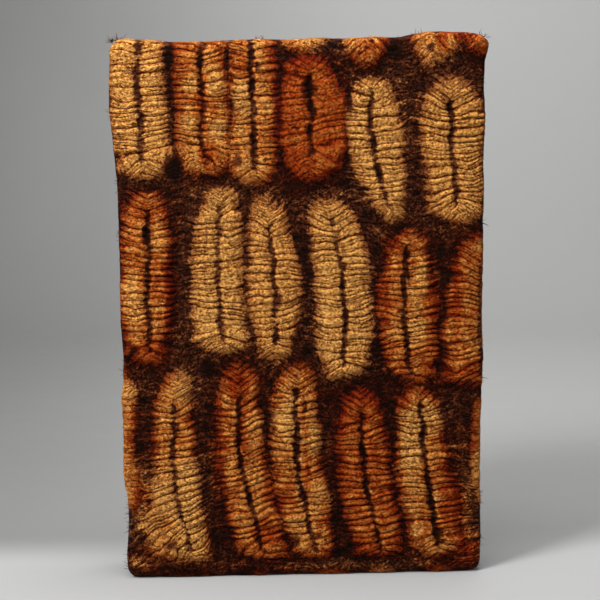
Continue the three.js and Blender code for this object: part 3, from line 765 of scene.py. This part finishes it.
class Wiring:  # short ways to add and join nodes in one tree
    def __init__(self, tree):
        self.tree = tree

    def add(self, kind, **settings):
        node = self.tree.nodes.new(kind)
        for key, value in settings.items():
            setattr(node, key, value)
        return node

    def feed(self, value, socket):
        if isinstance(value, Flow):
            self.tree.links.new(value.socket, socket)
        else:
            socket.default_value = value

    def fill(self, node, **values):  # by the sockets' names
        for label, value in values.items():
            self.feed(value, node.inputs[label.replace("_", " ")])
        return node

    def run(self, node, *values):  # by the sockets' order
        for value, socket in zip(values, node.inputs):
            self.feed(value, socket)
        return Flow(self, node.outputs[0])

    def math(self, operation, *values, clamp=False):
        return self.run(self.add("ShaderNodeMath", operation=operation, use_clamp=clamp), *values)

    def vector(self, operation, *values):
        return self.run(self.add("ShaderNodeVectorMath", operation=operation), *values)

    def scaled(self, where, scale):
        node = self.add("ShaderNodeVectorMath", operation="SCALE")
        return Flow(self, self.fill(node, Vector=where, Scale=scale).outputs[0])

    def turned(self, where, angle):
        node = self.add("ShaderNodeVectorRotate", rotation_type="Z_AXIS")
        return Flow(self, self.fill(node, Vector=where, Angle=angle).outputs[0])

    def mapped(self, where, **settings):
        node = self.fill(self.add("ShaderNodeMapping"), Vector=where, **settings)
        return Flow(self, node.outputs[0])

    def split(self, where):
        node = self.fill(self.add("ShaderNodeSeparateXYZ"), Vector=where)
        return [Flow(self, part) for part in node.outputs]

    def combined(self, *parts):
        return self.run(self.add("ShaderNodeCombineXYZ"), *parts)

    def between(self, value, low, high, toLow=0.0, toHigh=1.0):
        node = self.add("ShaderNodeMapRange", interpolation_type="SMOOTHSTEP")
        return self.run(node, value, low, high, toLow, toHigh)

    def mix(self, share, a, b, blend="MIX"):
        node = self.add("ShaderNodeMix", data_type="RGBA", blend_type=blend, clamp_factor=True)
        for value, socket in zip((share, a, b), (node.inputs[0], node.inputs[6], node.inputs[7])):
            self.feed(value, socket)
        return Flow(self, node.outputs[2])

    def noise(self, where, scale, detail=2.0, roughness=0.5):
        node = self.add("ShaderNodeTexNoise")
        self.fill(node, Vector=where, Scale=scale, Detail=detail, Roughness=roughness)
        return Flow(self, node.outputs["Fac"])

    def attribute(self, name, vector=False):
        node = self.add("ShaderNodeAttribute", attribute_name=name)
        return Flow(self, node.outputs["Vector" if vector else "Fac"])

    def objectPlace(self):
        return Flow(self, self.add("ShaderNodeTexCoord").outputs["Object"])

    def bump(self, height, strength, distance):
        node = self.fill(self.add("ShaderNodeBump"), Strength=strength, Distance=distance, Height=height)
        return Flow(self, node.outputs[0])

    def group(self, tree, **values):
        node = self.fill(self.add("ShaderNodeGroup", node_tree=tree), **values)
        return {socket.name: Flow(self, socket) for socket in node.outputs}


def newMaterial(name):
    material = bpy.data.materials.new(name)
    material.use_nodes = True
    return material, Wiring(material.node_tree), material.node_tree.nodes["Principled BSDF"]


def newGroup(name, numbers, outputs):  # takes a vector and some numbers
    tree = bpy.data.node_groups.new(name, "ShaderNodeTree")
    tree.interface.new_socket("Vector", in_out="INPUT", socket_type="NodeSocketVector")
    for label, value in numbers.items():
        socket = tree.interface.new_socket(label, in_out="INPUT", socket_type="NodeSocketFloat")
        socket.default_value = value
    for label in outputs:
        tree.interface.new_socket(label, in_out="OUTPUT", socket_type="NodeSocketFloat")
    w = Wiring(tree)
    given = {socket.name: Flow(w, socket) for socket in w.add("NodeGroupInput").outputs}
    return tree, w, given, w.add("NodeGroupOutput")


plaitShape = {"patches": 0.28, "sway": 3.2, "roundness": 0.6, "gap": (0.15, 0.55, 1.0, 0.0)}


# Strands plaited over and under each other on the slant, as a height and a shade for each strand.
def makePlaitGroup():
    numbers = {"Strand Width": 1.4, "Slant": 0.7, "Unevenness": 0.8}
    tree, w, given, out = newGroup("plaited_strands", numbers, ("Height", "Shade", "Gap"))
    uneven = w.add("ShaderNodeTexNoise")
    w.fill(uneven, Vector=given["Vector"], Scale=plaitShape["patches"], Detail=3.0)
    centred = w.vector("SUBTRACT", Flow(w, uneven.outputs["Color"]), (0.5, 0.5, 0.5))
    sway = given["Unevenness"] * plaitShape["sway"]
    moved = w.vector("ADD", given["Vector"], w.scaled(centred, sway))
    a, b, _ = w.split(w.scaled(w.turned(moved, given["Slant"]), 1.0 / given["Strand Width"]))
    rowA, rowB = w.math("FLOOR", a), w.math("FLOOR", b)
    over = w.math("GREATER_THAN", w.math("FRACT", (rowA + rowB) * 0.5), 0.25)
    waves = [w.math("ABSOLUTE", w.math("SINE", part * math.pi)) for part in (a, b)]
    roundA, roundB = [w.math("POWER", wave, plaitShape["roundness"]) for wave in waves]
    strand = w.add("ShaderNodeTexWhiteNoise", noise_dimensions="2D")
    w.fill(strand, Vector=w.combined(rowA, rowB))
    w.fill(
        out,
        Height=roundA + over * (roundB - roundA),
        Shade=Flow(w, strand.outputs["Value"]),
        Gap=w.between(roundA * roundB, *plaitShape["gap"]),
    )
    return tree


# Fine streaks along one direction, for split leaf fibre and for wood grain.
def makeStreakGroup():
    numbers = {"Across": 2.0, "Along": 0.2, "Contrast": 1.0}
    tree, w, given, out = newGroup("fibre_streaks", numbers, ("Streak",))
    x, y, z = w.split(given["Vector"])
    stretched = w.combined(x * given["Across"], y * given["Along"], z * given["Across"])
    streak = w.noise(stretched, 1.0, 4.0, 0.65)
    w.fill(out, Streak=w.math("ADD", (streak - 0.5) * given["Contrast"], 0.5, clamp=True))
    return tree


plaitGroup = makePlaitGroup()
streakGroup = makeStreakGroup()

raffia = {
    "pale": (0.900, 0.470, 0.115, 1),
    "gold": (0.200, 0.066, 0.012, 1),
    "redDye": (0.47, 0.135, 0.045, 1),
    "brownDye": (0.055, 0.022, 0.034, 1),
    # the crease colour: partly dye, partly painted shade in the creases
    "creaseDyeAndShade": (0.16, 0.075, 0.050, 1),
    "paleness": 0.62,
    "specular": 0.08,
    "glint": (1.0, 0.74, 0.50, 1),
    "bumpStrength": 0.9,
    "bumpDepth": 0.0010,
}
plaiting = {"Strand_Width": 1.5, "Slant": 0.62, "Unevenness": 0.8}
splitLeaf = {"Across": 0.75, "Along": 0.16, "Contrast": 2.6}
leafSlant = 0.95
# Noise over the flat cloth: patches to the millimetre, detail and roughness.
grainSizes = {
    "fine": (0.75, 3.0, 0.7),
    "coarse": (0.16, 3.0, 0.6),
    "broad": (0.045, 2.0, 0.5),
    "grit": (1.05, 2.0, 0.6),
    "seamReach": (0.10, 3.0, 0.6),
    "rust": (0.11, 3.0, 0.65),
}
# The same for noise drawn out along the ribs, with its patches across and up the pucker.
ribGrainSizes = {"wrinkle": ((0.10, 0.62, 1.0), 3.0, 0.62), "hair": ((0.34, 1.20, 1.0), 2.0, 0.6)}
# How much each grain sways the fibre's shade, the dyed ground, the dye's edges and the height.
grainWeights = {
    "shade": {"strand": 1.10, "streak": 0.40, "wrinkle": 0.9, "hair": 2.5, "fine": 1.0, "grit": 1.8},
    "ground": {"fine": 1.1, "grit": 1.4, "wrinkle": 2.0, "strand": 0.35},
    "edges": {"coarse": 6.5, "fine": 6.5, "hair": 4.5},
    "height": {"fine": 1.0, "grit": 0.9, "hair": 1.6, "streak": 0.6, "wrinkle": 1.3},
}
brownDyeing = {
    "pastRim": 1.5,  # how far outside the tied rim the dye stops
    "rimCreep": 2.2,  # how much farther it crept in at a crease
    "seamCreep": 1.5,
    "seamReach": 8.0,
    "seamMiddle": 0.48,
    "raggedSeam": 0.24,
    "raggedBlot": 0.06,
    "thickness": 0.52,
    "broad": 0.8,
    "coarse": 1.5,
    "thinnest": 0.05,
    "sparedSpecks": 0.9,
}
# Extra rust in the rib valleys: partly dye, partly painted shade there.
rustDyeing = {"middle": 0.52, "valley": 0.10, "redValleyDyeAndShade": 0.9}
creasing = {"wobble": 0.34, "hairs": 0.40, "archCurve": 0.6, "archHeight": 1.7, "lineDepth": 0.6}
# Where a mask eases over: from, to, and its values at the two.
dyeEdges = {
    # painted shade in the gaps between the strands
    "strandGapShade": (0.3, 0.6, 0.0, 1.1),
    "creaseLine": (0.0, 0.17, 1.05, 0.0),
    "creaseBreaks": (0.36, 0.60, 0.45, 1.15),
    "splitLine": (0.01, 0.12, 0.8, 0.0),
    "valley": (0.05, 0.45, 1.0, 0.0),
    "ground": (-1.8, 2.0, 1.0, 0.0),
    "fringe": (0.0, 8.0, 0.20, 0.0),
    "seamLine": (0.0, 2.6, 1.1, 0.0),
    "blot": (0.12, 0.85, 0.0, 0.7),
    "speckle": (0.52, 0.72, 0.0, 0.26),
    "sparedStreaks": (0.35, 0.65, 0.45, 1.55),
    "rustPatch": (0.0, 0.35, 0.0, 2.2),
    "halo": (0.0, 7.0, 1.4, 0.0),
    "rustHalo": (0.0, 0.3, 0.15, 1.0),
    "roughness": (0.0, 1.0, 0.9, 0.66),
}


def swayed(grains, use):  # the grains' departures from their middle, by their weights
    return sum((grains[name] - 0.5) * weight for name, weight in grainWeights[use].items())


def clothGrains(w, mm, strand):
    grains = {name: w.noise(mm, *size) for name, size in grainSizes.items()}
    lay = w.attribute("lay", vector=True)
    for name, (size, detail, roughness) in ribGrainSizes.items():
        grains[name] = w.noise(w.mapped(lay, Scale=size), 1.0, detail, roughness)
    grains["streak"] = w.group(streakGroup, Vector=w.turned(mm, leafSlant), **splitLeaf)["Streak"]
    grains["strand"] = strand
    return grains


# Creases between the ribs, drawn from the phase round each rib: the dark lines, partly dye and
# partly painted shade in the creases, the hollows beside them, and the ribs' arch.
def creaseLines(w, grains):
    x, y, strength = w.split(w.attribute("crease", vector=True))
    away = w.math("ABSOLUTE", w.math("ARCTAN2", y, x) / (2 * math.pi))
    wobble = (grains["fine"] - 0.5) * creasing["wobble"]
    hairs = (grains["hair"] - 0.5) * creasing["hairs"]
    line = w.between(away + wobble + hairs, *dyeEdges["creaseLine"])
    line = line * strength * w.between(grains["coarse"], *dyeEdges["creaseBreaks"])
    fromSplit = w.math("ABSOLUTE", away - 0.5) + wobble
    splitLine = w.between(fromSplit, *dyeEdges["splitLine"]) * w.attribute("split")
    valley = w.between(away, *dyeEdges["valley"]) * strength
    arch = w.math("POWER", away * 2.0, creasing["archCurve"]) * strength
    return w.math("MAXIMUM", line, splitLine), valley, arch


# How thick the brown dye lies: on the ground, past the rims, along the seams and in the spots.
def brownThickness(w, grains, valley):
    dye, spare, ragged = brownDyeing, w.attribute("spare"), swayed(grains, "edges")
    rim = w.attribute("rim") + dye["pastRim"] - valley * dye["rimCreep"] + ragged
    ground = w.between(rim, *dyeEdges["ground"])
    crept = (grains["seamReach"] - dye["seamMiddle"]) * dye["seamReach"]
    crept = crept + valley * dye["seamCreep"] - ragged * dye["raggedSeam"]
    seamLine = w.between(w.attribute("seam") - crept, *dyeEdges["seamLine"]) * w.attribute("seamDye")
    brown = w.math("MAXIMUM", w.between(rim, *dyeEdges["fringe"]), seamLine)
    brown = w.math("MAXIMUM", ground, brown)
    thick = grains["broad"] * dye["broad"] + (grains["coarse"] - 0.5) * dye["coarse"]
    thick = thick + dye["thickness"]
    thick = thick - spare * w.between(grains["wrinkle"], *dyeEdges["sparedStreaks"])
    brown = brown * w.math("MAXIMUM", thick, dye["thinnest"])
    blot = w.attribute("blot") - ragged * dye["raggedBlot"]
    brown = brown + w.between(blot, *dyeEdges["blot"]) + w.between(grains["grit"], *dyeEdges["speckle"])
    brown = brown - swayed(grains, "ground") * (ground - spare * dye["sparedSpecks"])
    return w.math("MAXIMUM", brown, 0.0), rim


def rustThickness(w, grains, rim, valley):
    red = w.attribute("red")
    patches = (grains["rust"] - rustDyeing["middle"]) * w.between(red, *dyeEdges["rustPatch"])
    halo = w.between(w.math("ABSOLUTE", rim), *dyeEdges["halo"]) * grains["broad"]
    halo = halo * w.between(red, *dyeEdges["rustHalo"])
    # Painted shade in the rib valleys, mixed with the rust dye that gathers there.
    valleyDyeAndShade = valley * (red * rustDyeing["redValleyDyeAndShade"] + rustDyeing["valley"])
    return w.math("MAXIMUM", red + patches + halo + valleyDyeAndShade, 0.0)


def clothMaterial():
    material, w, shader = newMaterial("plaited_raffia")
    sheet = w.add("ShaderNodeUVMap", uv_map="SheetUV")
    mm = w.scaled(Flow(w, sheet.outputs[0]), 1000.0)
    plait = w.group(plaitGroup, Vector=mm, **plaiting)
    grains = clothGrains(w, mm, plait["Shade"])

    # The undyed strands differ from one to the next, and the gaps between them get painted shade.
    strandGapShade = plait["Gap"] * w.between(grains["fine"], *dyeEdges["strandGapShade"])
    shade = w.math("SUBTRACT", swayed(grains, "shade") + raffia["paleness"], strandGapShade, clamp=True)
    fibre = w.mix(shade, raffia["gold"], raffia["pale"])

    # Each dye darkens the fibre the more the thicker it lies; the crease colour and the rust in the
    # valleys also carry painted shade.
    crease, valley, arch = creaseLines(w, grains)
    brown, rim = brownThickness(w, grains, valley)
    red = rustThickness(w, grains, rim, valley)
    for dye, thickness in (("redDye", red), ("brownDye", brown), ("creaseDyeAndShade", crease)):
        absorbed = w.fill(w.add("ShaderNodeGamma"), Color=raffia[dye], Gamma=thickness)
        fibre = w.mix(1.0, fibre, Flow(w, absorbed.outputs[0]), "MULTIPLY")
    height = arch * creasing["archHeight"] - crease * creasing["lineDepth"]
    height = plait["Height"] + height + swayed(grains, "height")
    w.fill(
        shader,
        Base_Color=fibre,
        Roughness=w.between(shade, *dyeEdges["roughness"]),
        Specular_IOR_Level=raffia["specular"],
        Specular_Tint=raffia["glint"],
        Normal=w.bump(height, raffia["bumpStrength"], raffia["bumpDepth"]),
    )
    return material


clothPiece.data.materials.append(clothMaterial())
print("cloth dyed")

softwood = {
    "early": (0.66, 0.46, 0.26, 1),
    "late": (0.42, 0.24, 0.11, 1),
    "grain": {"Across": 0.35, "Along": 0.012, "Contrast": 2.2},
    "pores": {"Across": 2.2, "Along": 0.05, "Contrast": 2.0},
    "rings": 7.0,
    "ringEdge": (0.05, 0.5),
    "ringShare": 0.6,  # how much of the shade comes from the rings; the pores give the rest
    "roughness": (0, 1, 0.75, 0.55),
    "bumpStrength": 0.4,
    "bumpDepth": 0.0003,
}


def woodMaterial(name, upright):
    material, w, shader = newMaterial(name)
    turn = (math.pi / 2, 0, 0) if upright else (0, 0, math.pi / 2)
    mm = w.mapped(w.objectPlace(), Scale=(1000, 1000, 1000), Rotation=turn)
    grain = w.group(streakGroup, Vector=mm, **softwood["grain"])["Streak"]
    pores = w.group(streakGroup, Vector=mm, **softwood["pores"])["Streak"]
    rings = w.math("ABSOLUTE", w.math("FRACT", grain * softwood["rings"]) - 0.5)
    share = softwood["ringShare"]
    shade = w.between(rings, *softwood["ringEdge"]) * share + pores * (1 - share)
    w.fill(
        shader,
        Base_Color=w.mix(shade, softwood["late"], softwood["early"]),
        Roughness=w.between(pores, *softwood["roughness"]),
        Normal=w.bump(pores, softwood["bumpStrength"], softwood["bumpDepth"]),
    )
    return material


for direction in ("level", "upright"):
    wood = woodMaterial("softwood_" + direction, direction == "upright")
    for side in ("left", "right") if direction == "upright" else ("bottom", "top"):
        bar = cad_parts["frame_bar_" + side]
        bar.data.materials.clear()
        bar.data.materials.append(wood)
print("wood grained")

# Loose fibre ends that stand off the cloth.
fibres = {
    "onGround": 1700,
    "onRims": 700,
    "alongEdges": 420,
    "radius": 0.15,
    "joints": 4,
    "sides": 3,
    "tipShare": 0.25,
    "floorGap": 0.3,
    "tuftBoost": 2.3,  # how much longer the fibres of a tuft are
    "tuftThickness": 0.6,
    "underPuckers": 0.06,  # how likely a fibre is on a pucker and by a seam, next to the ground's
    "bySeams": 0.5,
    "seamReach": 3.5,
    "groundLength": (2.0, 6.5),
    "groundBend": 0.9,
    "groundSizes": (0.6, 1.2),
    "edgeLength": (1.2, 3.2),
    "edgeBend": 0.5,
    "edgeSizes": (0.8, 1.4),
    "edgeDepth": (-17, 6),
    "edgeOutwards": (0.25, 0.9),
    "edgeSpread": (0.54, 0.24, 0.54),
    "rooted": 0.6,
    "nearRim": 2.5,
    "scatter": 0.7,
    "proud": 0.15,
    "slant": 0.6,  # most fibres lie level, give or take this angle
    "anyWay": 0.3,  # and this share of them lies any way
    "groundLift": (-0.22, 0.05),
    "curls": (1.5, 4.5),
    "arc": 2.4,
    "rise": 0.16,
    "dark": (0.010, 0.003, 0.002, 1),
    "light": (0.080, 0.024, 0.009, 1),
    "tone": (0.35, 0.7),
    "roughness": (0.3, 0.7, 0.9, 0.7),
}
# Thicker tufts that show against the background, as x, z, spread and count.
tufts = [
    (-155, 461, 4, 14), (-146, 463, 5, 14), (-159, 404, 4, 8), (-153, 186, 5, 18),
    (-151, 62, 9, 26), (-151, 44, 5, 14), (-148, 8, 6, 20), (154, 22, 7, 22), (152, 66, 12, 26),
    (153, 168, 4, 10), (-35, 461, 5, 14), (150, 462, 4, 12), (97, 462, 5, 10), (-150, 345, 8, 14),
    (153, 205, 6, 12), (153, 306, 4, 8), (-152, 300, 6, 10),
]


def bentLine(rng, start, heading, lift, length, bend):
    share = np.linspace(0, 1, fibres["joints"] + 1)[:, None]
    curl = np.cross(heading, lift) * bend * np.sin(share * rng.uniform(*fibres["curls"]))
    rise = lift * np.sin(share * fibres["arc"]) * length * fibres["rise"]
    line = start + heading * length * share + rise + curl
    line[:, 2] = np.maximum(line[:, 2], fibres["floorGap"])
    return line


def groundFibres(rng):
    x, z = bulged(faceFlat[:, 0], faceFlat[:, 1], 1.0)
    surface = np.stack([x, cloth["faceFront"] - faceRelief, z], 1)
    rim = faceField["rim"]
    weight = np.where(rim < 0, 1.0, fibres["underPuckers"])
    weight[faceField["seam"] < fibres["seamReach"]] = fibres["bySeams"]
    chosen = rng.choice(len(surface), fibres["onGround"], p=weight / weight.sum())
    nearRim = np.where(np.abs(rim - 1) < fibres["nearRim"])[0]
    spread, proud = fibres["scatter"], fibres["proud"]
    for index in np.concatenate([chosen, rng.choice(nearRim, fibres["onRims"])]):
        start = surface[index] + np.array([rng.uniform(-1, 1), -proud, rng.uniform(-spread, spread)])
        angle = rng.normal(0, fibres["slant"]) + (math.pi if rng.uniform() < 0.5 else 0)
        if rng.uniform() < fibres["anyWay"]:
            angle = rng.uniform(0, 2 * math.pi)
        lift = rng.uniform(*fibres["groundLift"])
        heading = np.array([math.cos(angle), lift, math.sin(angle)])
        length, bend = rng.uniform(*fibres["groundLength"]), rng.uniform(-1, 1) * fibres["groundBend"]
        radius = fibres["radius"] * rng.uniform(*fibres["groundSizes"])
        yield bentLine(rng, start, heading, np.array([0, -1.0, 0]), length, bend), radius


def edgePlaces(rng):  # x, z and how much longer the fibre is than the others
    half, high = cloth["halfWidth"], cloth["height"]
    for _ in range(fibres["alongEdges"]):
        at = rng.uniform(0, 2 * (high + half))
        if at < 2 * high:
            yield (-half, at, 1.0) if at < high else (half, at - high, 1.0)
        else:
            yield at - 2 * high - half, high, 1.0
    for x, z, spread, count in tufts:
        for _ in range(count):
            yield x + rng.normal(0, spread / 2), z + rng.normal(0, spread / 2), fibres["tuftBoost"]


def edgeFibres(rng):
    half, high = cloth["halfWidth"], cloth["height"]
    for x, z, boost in list(edgePlaces(rng)):
        top = z > high - 3 and abs(x) < half - 1
        edgeX = np.clip(x, -half, half) if top else math.copysign(half, x)
        rootX, rootZ = bulged(np.array([edgeX]), np.array([np.clip(z, 1, high)]), 1.0)
        out = np.array([0, 0, 1.0]) if top else np.array([math.copysign(1.0, x), 0, 0])
        start = np.array([rootX[0], rng.uniform(*fibres["edgeDepth"]), rootZ[0]])
        lean = np.array([rng.normal(0, spread) for spread in fibres["edgeSpread"]])
        heading = out * rng.uniform(*fibres["edgeOutwards"]) + lean
        heading /= np.linalg.norm(heading)
        lift = np.cross(heading, np.array([0.3, 0.8, 0.5]))
        lift /= np.linalg.norm(lift)
        length = rng.uniform(*fibres["edgeLength"]) * rng.uniform(0.8, 1.0) * boost
        bend = rng.uniform(-1, 1) * fibres["edgeBend"]
        radius = fibres["radius"] * rng.uniform(*fibres["edgeSizes"])
        radius *= 1 + fibres["tuftThickness"] * (boost - 1)
        yield bentLine(rng, start - out * fibres["rooted"], heading, lift, length, bend), radius


def strandMesh(strands):
    points, faces, sides = [], [], fibres["sides"]
    for line, radius in strands:
        start, last = len(points), len(line) - 1
        heading = line[-1] - line[0]
        heading /= np.linalg.norm(heading)
        a = np.cross(heading, np.array([0.12, 0.9, 0.4]))
        a /= np.linalg.norm(a)
        b = np.cross(heading, a)
        for k, centre in enumerate(line):
            size = radius * (1 - (1 - fibres["tipShare"]) * k / last)
            for angle in np.arange(sides) * 2 * math.pi / sides:
                points.append(centre + size * (math.cos(angle) * a + math.sin(angle) * b))
        rings = [list(range(start + sides * k, start + sides * (k + 1))) for k in range(last + 1)]
        for near, far in zip(rings, rings[1:]):
            faces += bandFaces(near, far)
        faces += [rings[0][::-1], rings[-1]]
    return np.array(points), faces


def fibreMaterial():
    material, w, shader = newMaterial("loose_raffia")
    tone = w.noise(w.objectPlace(), 420.0, 2.0, 0.6)
    w.fill(
        shader,
        Base_Color=w.mix(w.between(tone, *fibres["tone"]), fibres["dark"], fibres["light"]),
        Roughness=w.between(tone, *fibres["roughness"]),
        Specular_IOR_Level=raffia["specular"],
        Specular_Tint=raffia["glint"],
    )
    return material


fibreRandom = np.random.default_rng(77)
strands = [*groundFibres(fibreRandom), *edgeFibres(fibreRandom)]
fibrePoints, fibreFaces = strandMesh(strands)
fibrePiece = makeMesh("loose_fibres", toFrame(fibrePoints), fibreFaces)
fibrePiece.data.materials.append(fibreMaterial())
print("loose fibres", len(strands))

staples = {
    "crown": 9.0,
    "wire": 0.9,
    "spacing": 45.0,
    "inset": 20.0,
    "margin": 30.0,  # how far the rows stop short of the corners
    "proud": 0.1,
    "stray": 3.0,
    "tilt": 0.25,
    "rounding": 0.3,  # as a share of the wire
    "dull": (0.36, 0.35, 0.34, 1),
    "bright": (0.58, 0.57, 0.55, 1),
    "roughness": (0.2, 0.8, 0.5, 0.28),
}


def stapleMaterial():
    material, w, shader = newMaterial("staple_steel")
    dull = w.noise(w.objectPlace(), 900.0, 3.0, 0.6)
    w.fill(
        shader,
        Base_Color=w.mix(dull, staples["dull"], staples["bright"]),
        Roughness=w.between(dull, *staples["roughness"]),
        Metallic=1.0,
    )
    return material


def staplePlaces():
    half, high, inset, margin = cloth["halfWidth"], cloth["height"], staples["inset"], staples["margin"]
    wide, tall = 2 * (half - margin), high - 2 * margin
    across, upwards = int(wide / staples["spacing"]), int(tall / staples["spacing"])
    for i in range(across + 1):
        x = -half + margin + wide * i / across
        yield from ((x, inset, 0.0), (x, high - inset, 0.0))
    for i in range(upwards + 1):
        z = margin + tall * i / upwards
        yield from ((-half + inset, z, math.pi / 2), (half - inset, z, math.pi / 2))


def makeStaples():
    rng = np.random.default_rng(5)
    stray, wire = staples["stray"], staples["wire"] * millimetre
    for x, z, turn in staplePlaces():
        x, z = x + rng.uniform(-stray, stray), z + rng.uniform(-stray, stray)
        place = toFrame(np.array([x, cloth["hemBack"] + staples["proud"], z]))
        bpy.ops.mesh.primitive_cube_add(size=1, location=place)
        staple = bpy.context.object
        staple.scale = (staples["crown"] * millimetre, wire, wire)
        staple.rotation_euler = (0, turn + rng.uniform(-staples["tilt"], staples["tilt"]), 0)
        bpy.ops.object.transform_apply(location=True, rotation=True, scale=True)
        bevel = staple.modifiers.new("bevel", "BEVEL")
        bevel.width = wire * staples["rounding"]
        bevel.segments = 2
        bpy.ops.object.modifier_apply(modifier="bevel")
        yield staple


madeStaples = list(makeStaples())
bpy.ops.object.select_all(action="DESELECT")
for staple in madeStaples:
    staple.select_set(True)
bpy.context.view_layer.objects.active = madeStaples[0]
bpy.ops.object.join()
staplePiece = bpy.context.object
staplePiece.name = "hem_staples"
bpy.ops.object.select_all(action="DESELECT")
staplePiece.data.materials.append(stapleMaterial())
print("staples", len(madeStaples))

# What each piece rides on and stands for.
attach(clothPiece, "root")
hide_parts("raffia_cloth")
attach(fibrePiece, "root")
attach(staplePiece, "root")

# The paper is one pale tone in front of the panel; behind it, its colours paint the light: painted shade
# to the left, painted light to the right, and a painted shadow low on the right.
studio = {
    "front": (0.265, 0.264, 0.264, 1),
    "left": (0.130, 0.130, 0.128, 1),
    "right": (0.308, 0.308, 0.305, 1),
    "rightLow": (0.230, 0.230, 0.227, 1),
    "halfWidth": 4.0,
    "nearEdge": -2.5,
    "wallDistance": 1.6,
    "wallHeight": 3.0,
    "bend": 0.6,
    "bendSteps": 12,
    "world": 0.24,
    "worldColour": (1.0, 0.99, 0.97, 1),
    "spreadBack": 0.8,  # how fast the shadow's edge on the paper widens with distance
    "waver": 0.12,
    "shadowEdge": (-0.34, 0.16),
    "lowShadowEdge": (0.0, 0.9),
    "frontEdge": (0.02, 0.10),
    "roughness": (0, 1, 0.8, 0.9),
}
# Each softbox's place, aim, size and power.
softboxes = {
    "key_softbox": ((-0.92, -0.76, 1.36), (0, 0, 0.22), (0.40, 0.40), 46.0),
    "fill_softbox": ((1.3, -1.4, 0.8), (0, 0, 0.2), (1.2, 1.2), 10.0),
    "top_softbox": ((0.1, -0.1, 1.7), (0, 0, 0.2), (0.9, 0.5), 24.0),
    "wall_softbox": ((0.2, 0.5, 1.4), (0.9, 1.6, 0.7), (0.6, 0.6), 16.0),
}


def paperMaterial():
    material, w, shader = newMaterial("studio_paper_painted_shade")
    where = w.objectPlace()
    x, y, z = w.split(where)
    # Behind the panel the colours are painted shade on the left, painted light on the right and a
    # painted shadow low on the right.
    waver = (w.noise(where, 2.0) - 0.5) * studio["waver"]
    across = x / (y * studio["spreadBack"] + 1.0) + waver
    right = w.mix(w.between(z, *studio["lowShadowEdge"]), studio["rightLow"], studio["right"])
    behind = w.mix(w.between(across, *studio["shadowEdge"]), studio["left"], right)
    w.fill(
        shader,
        Base_Color=w.mix(w.between(y, *studio["frontEdge"]), studio["front"], behind),
        Roughness=w.between(w.noise(where, 30.0), *studio["roughness"]),
    )
    return material


def makeSweep():
    bend, foot = studio["bend"], studio["wallDistance"] - studio["bend"]
    profile = [(studio["nearEdge"], 0.0)]
    for step in range(studio["bendSteps"] + 1):
        turn = step / studio["bendSteps"] * math.pi / 2
        profile.append((foot + bend * math.sin(turn), bend * (1 - math.cos(turn))))
    profile.append((studio["wallDistance"], studio["wallHeight"]))
    points, faces = [], []
    for y, z in profile:
        points += [(-studio["halfWidth"], y, z), (studio["halfWidth"], y, z)]
    for i in range(len(profile) - 1):
        faces.append((2 * i, 2 * i + 1, 2 * i + 3, 2 * i + 2))
    sweep = makeMesh("studio_sweep", np.array(points), faces)
    sweep.data.materials.append(paperMaterial())


def makeSoftbox(name, place, aim, size, power):
    data = bpy.data.lights.new(name, "AREA")
    data.shape = "RECTANGLE"
    data.size, data.size_y = size
    data.energy = power
    lamp = bpy.data.objects.new(name, data)
    scene.collection.objects.link(lamp)
    lamp.location = place
    lamp.rotation_euler = (Vector(aim) - Vector(place)).to_track_quat("-Z", "Y").to_euler()


makeSweep()
for name, setting in softboxes.items():
    makeSoftbox(name, *setting)
world = bpy.data.worlds.new("studio_air")
world.use_nodes = True
air = world.node_tree.nodes["Background"]
air.inputs["Color"].default_value = studio["worldColour"]
air.inputs["Strength"].default_value = studio["world"]
scene.world = world
scene.view_settings.view_transform = "Standard"
print("studio lit")
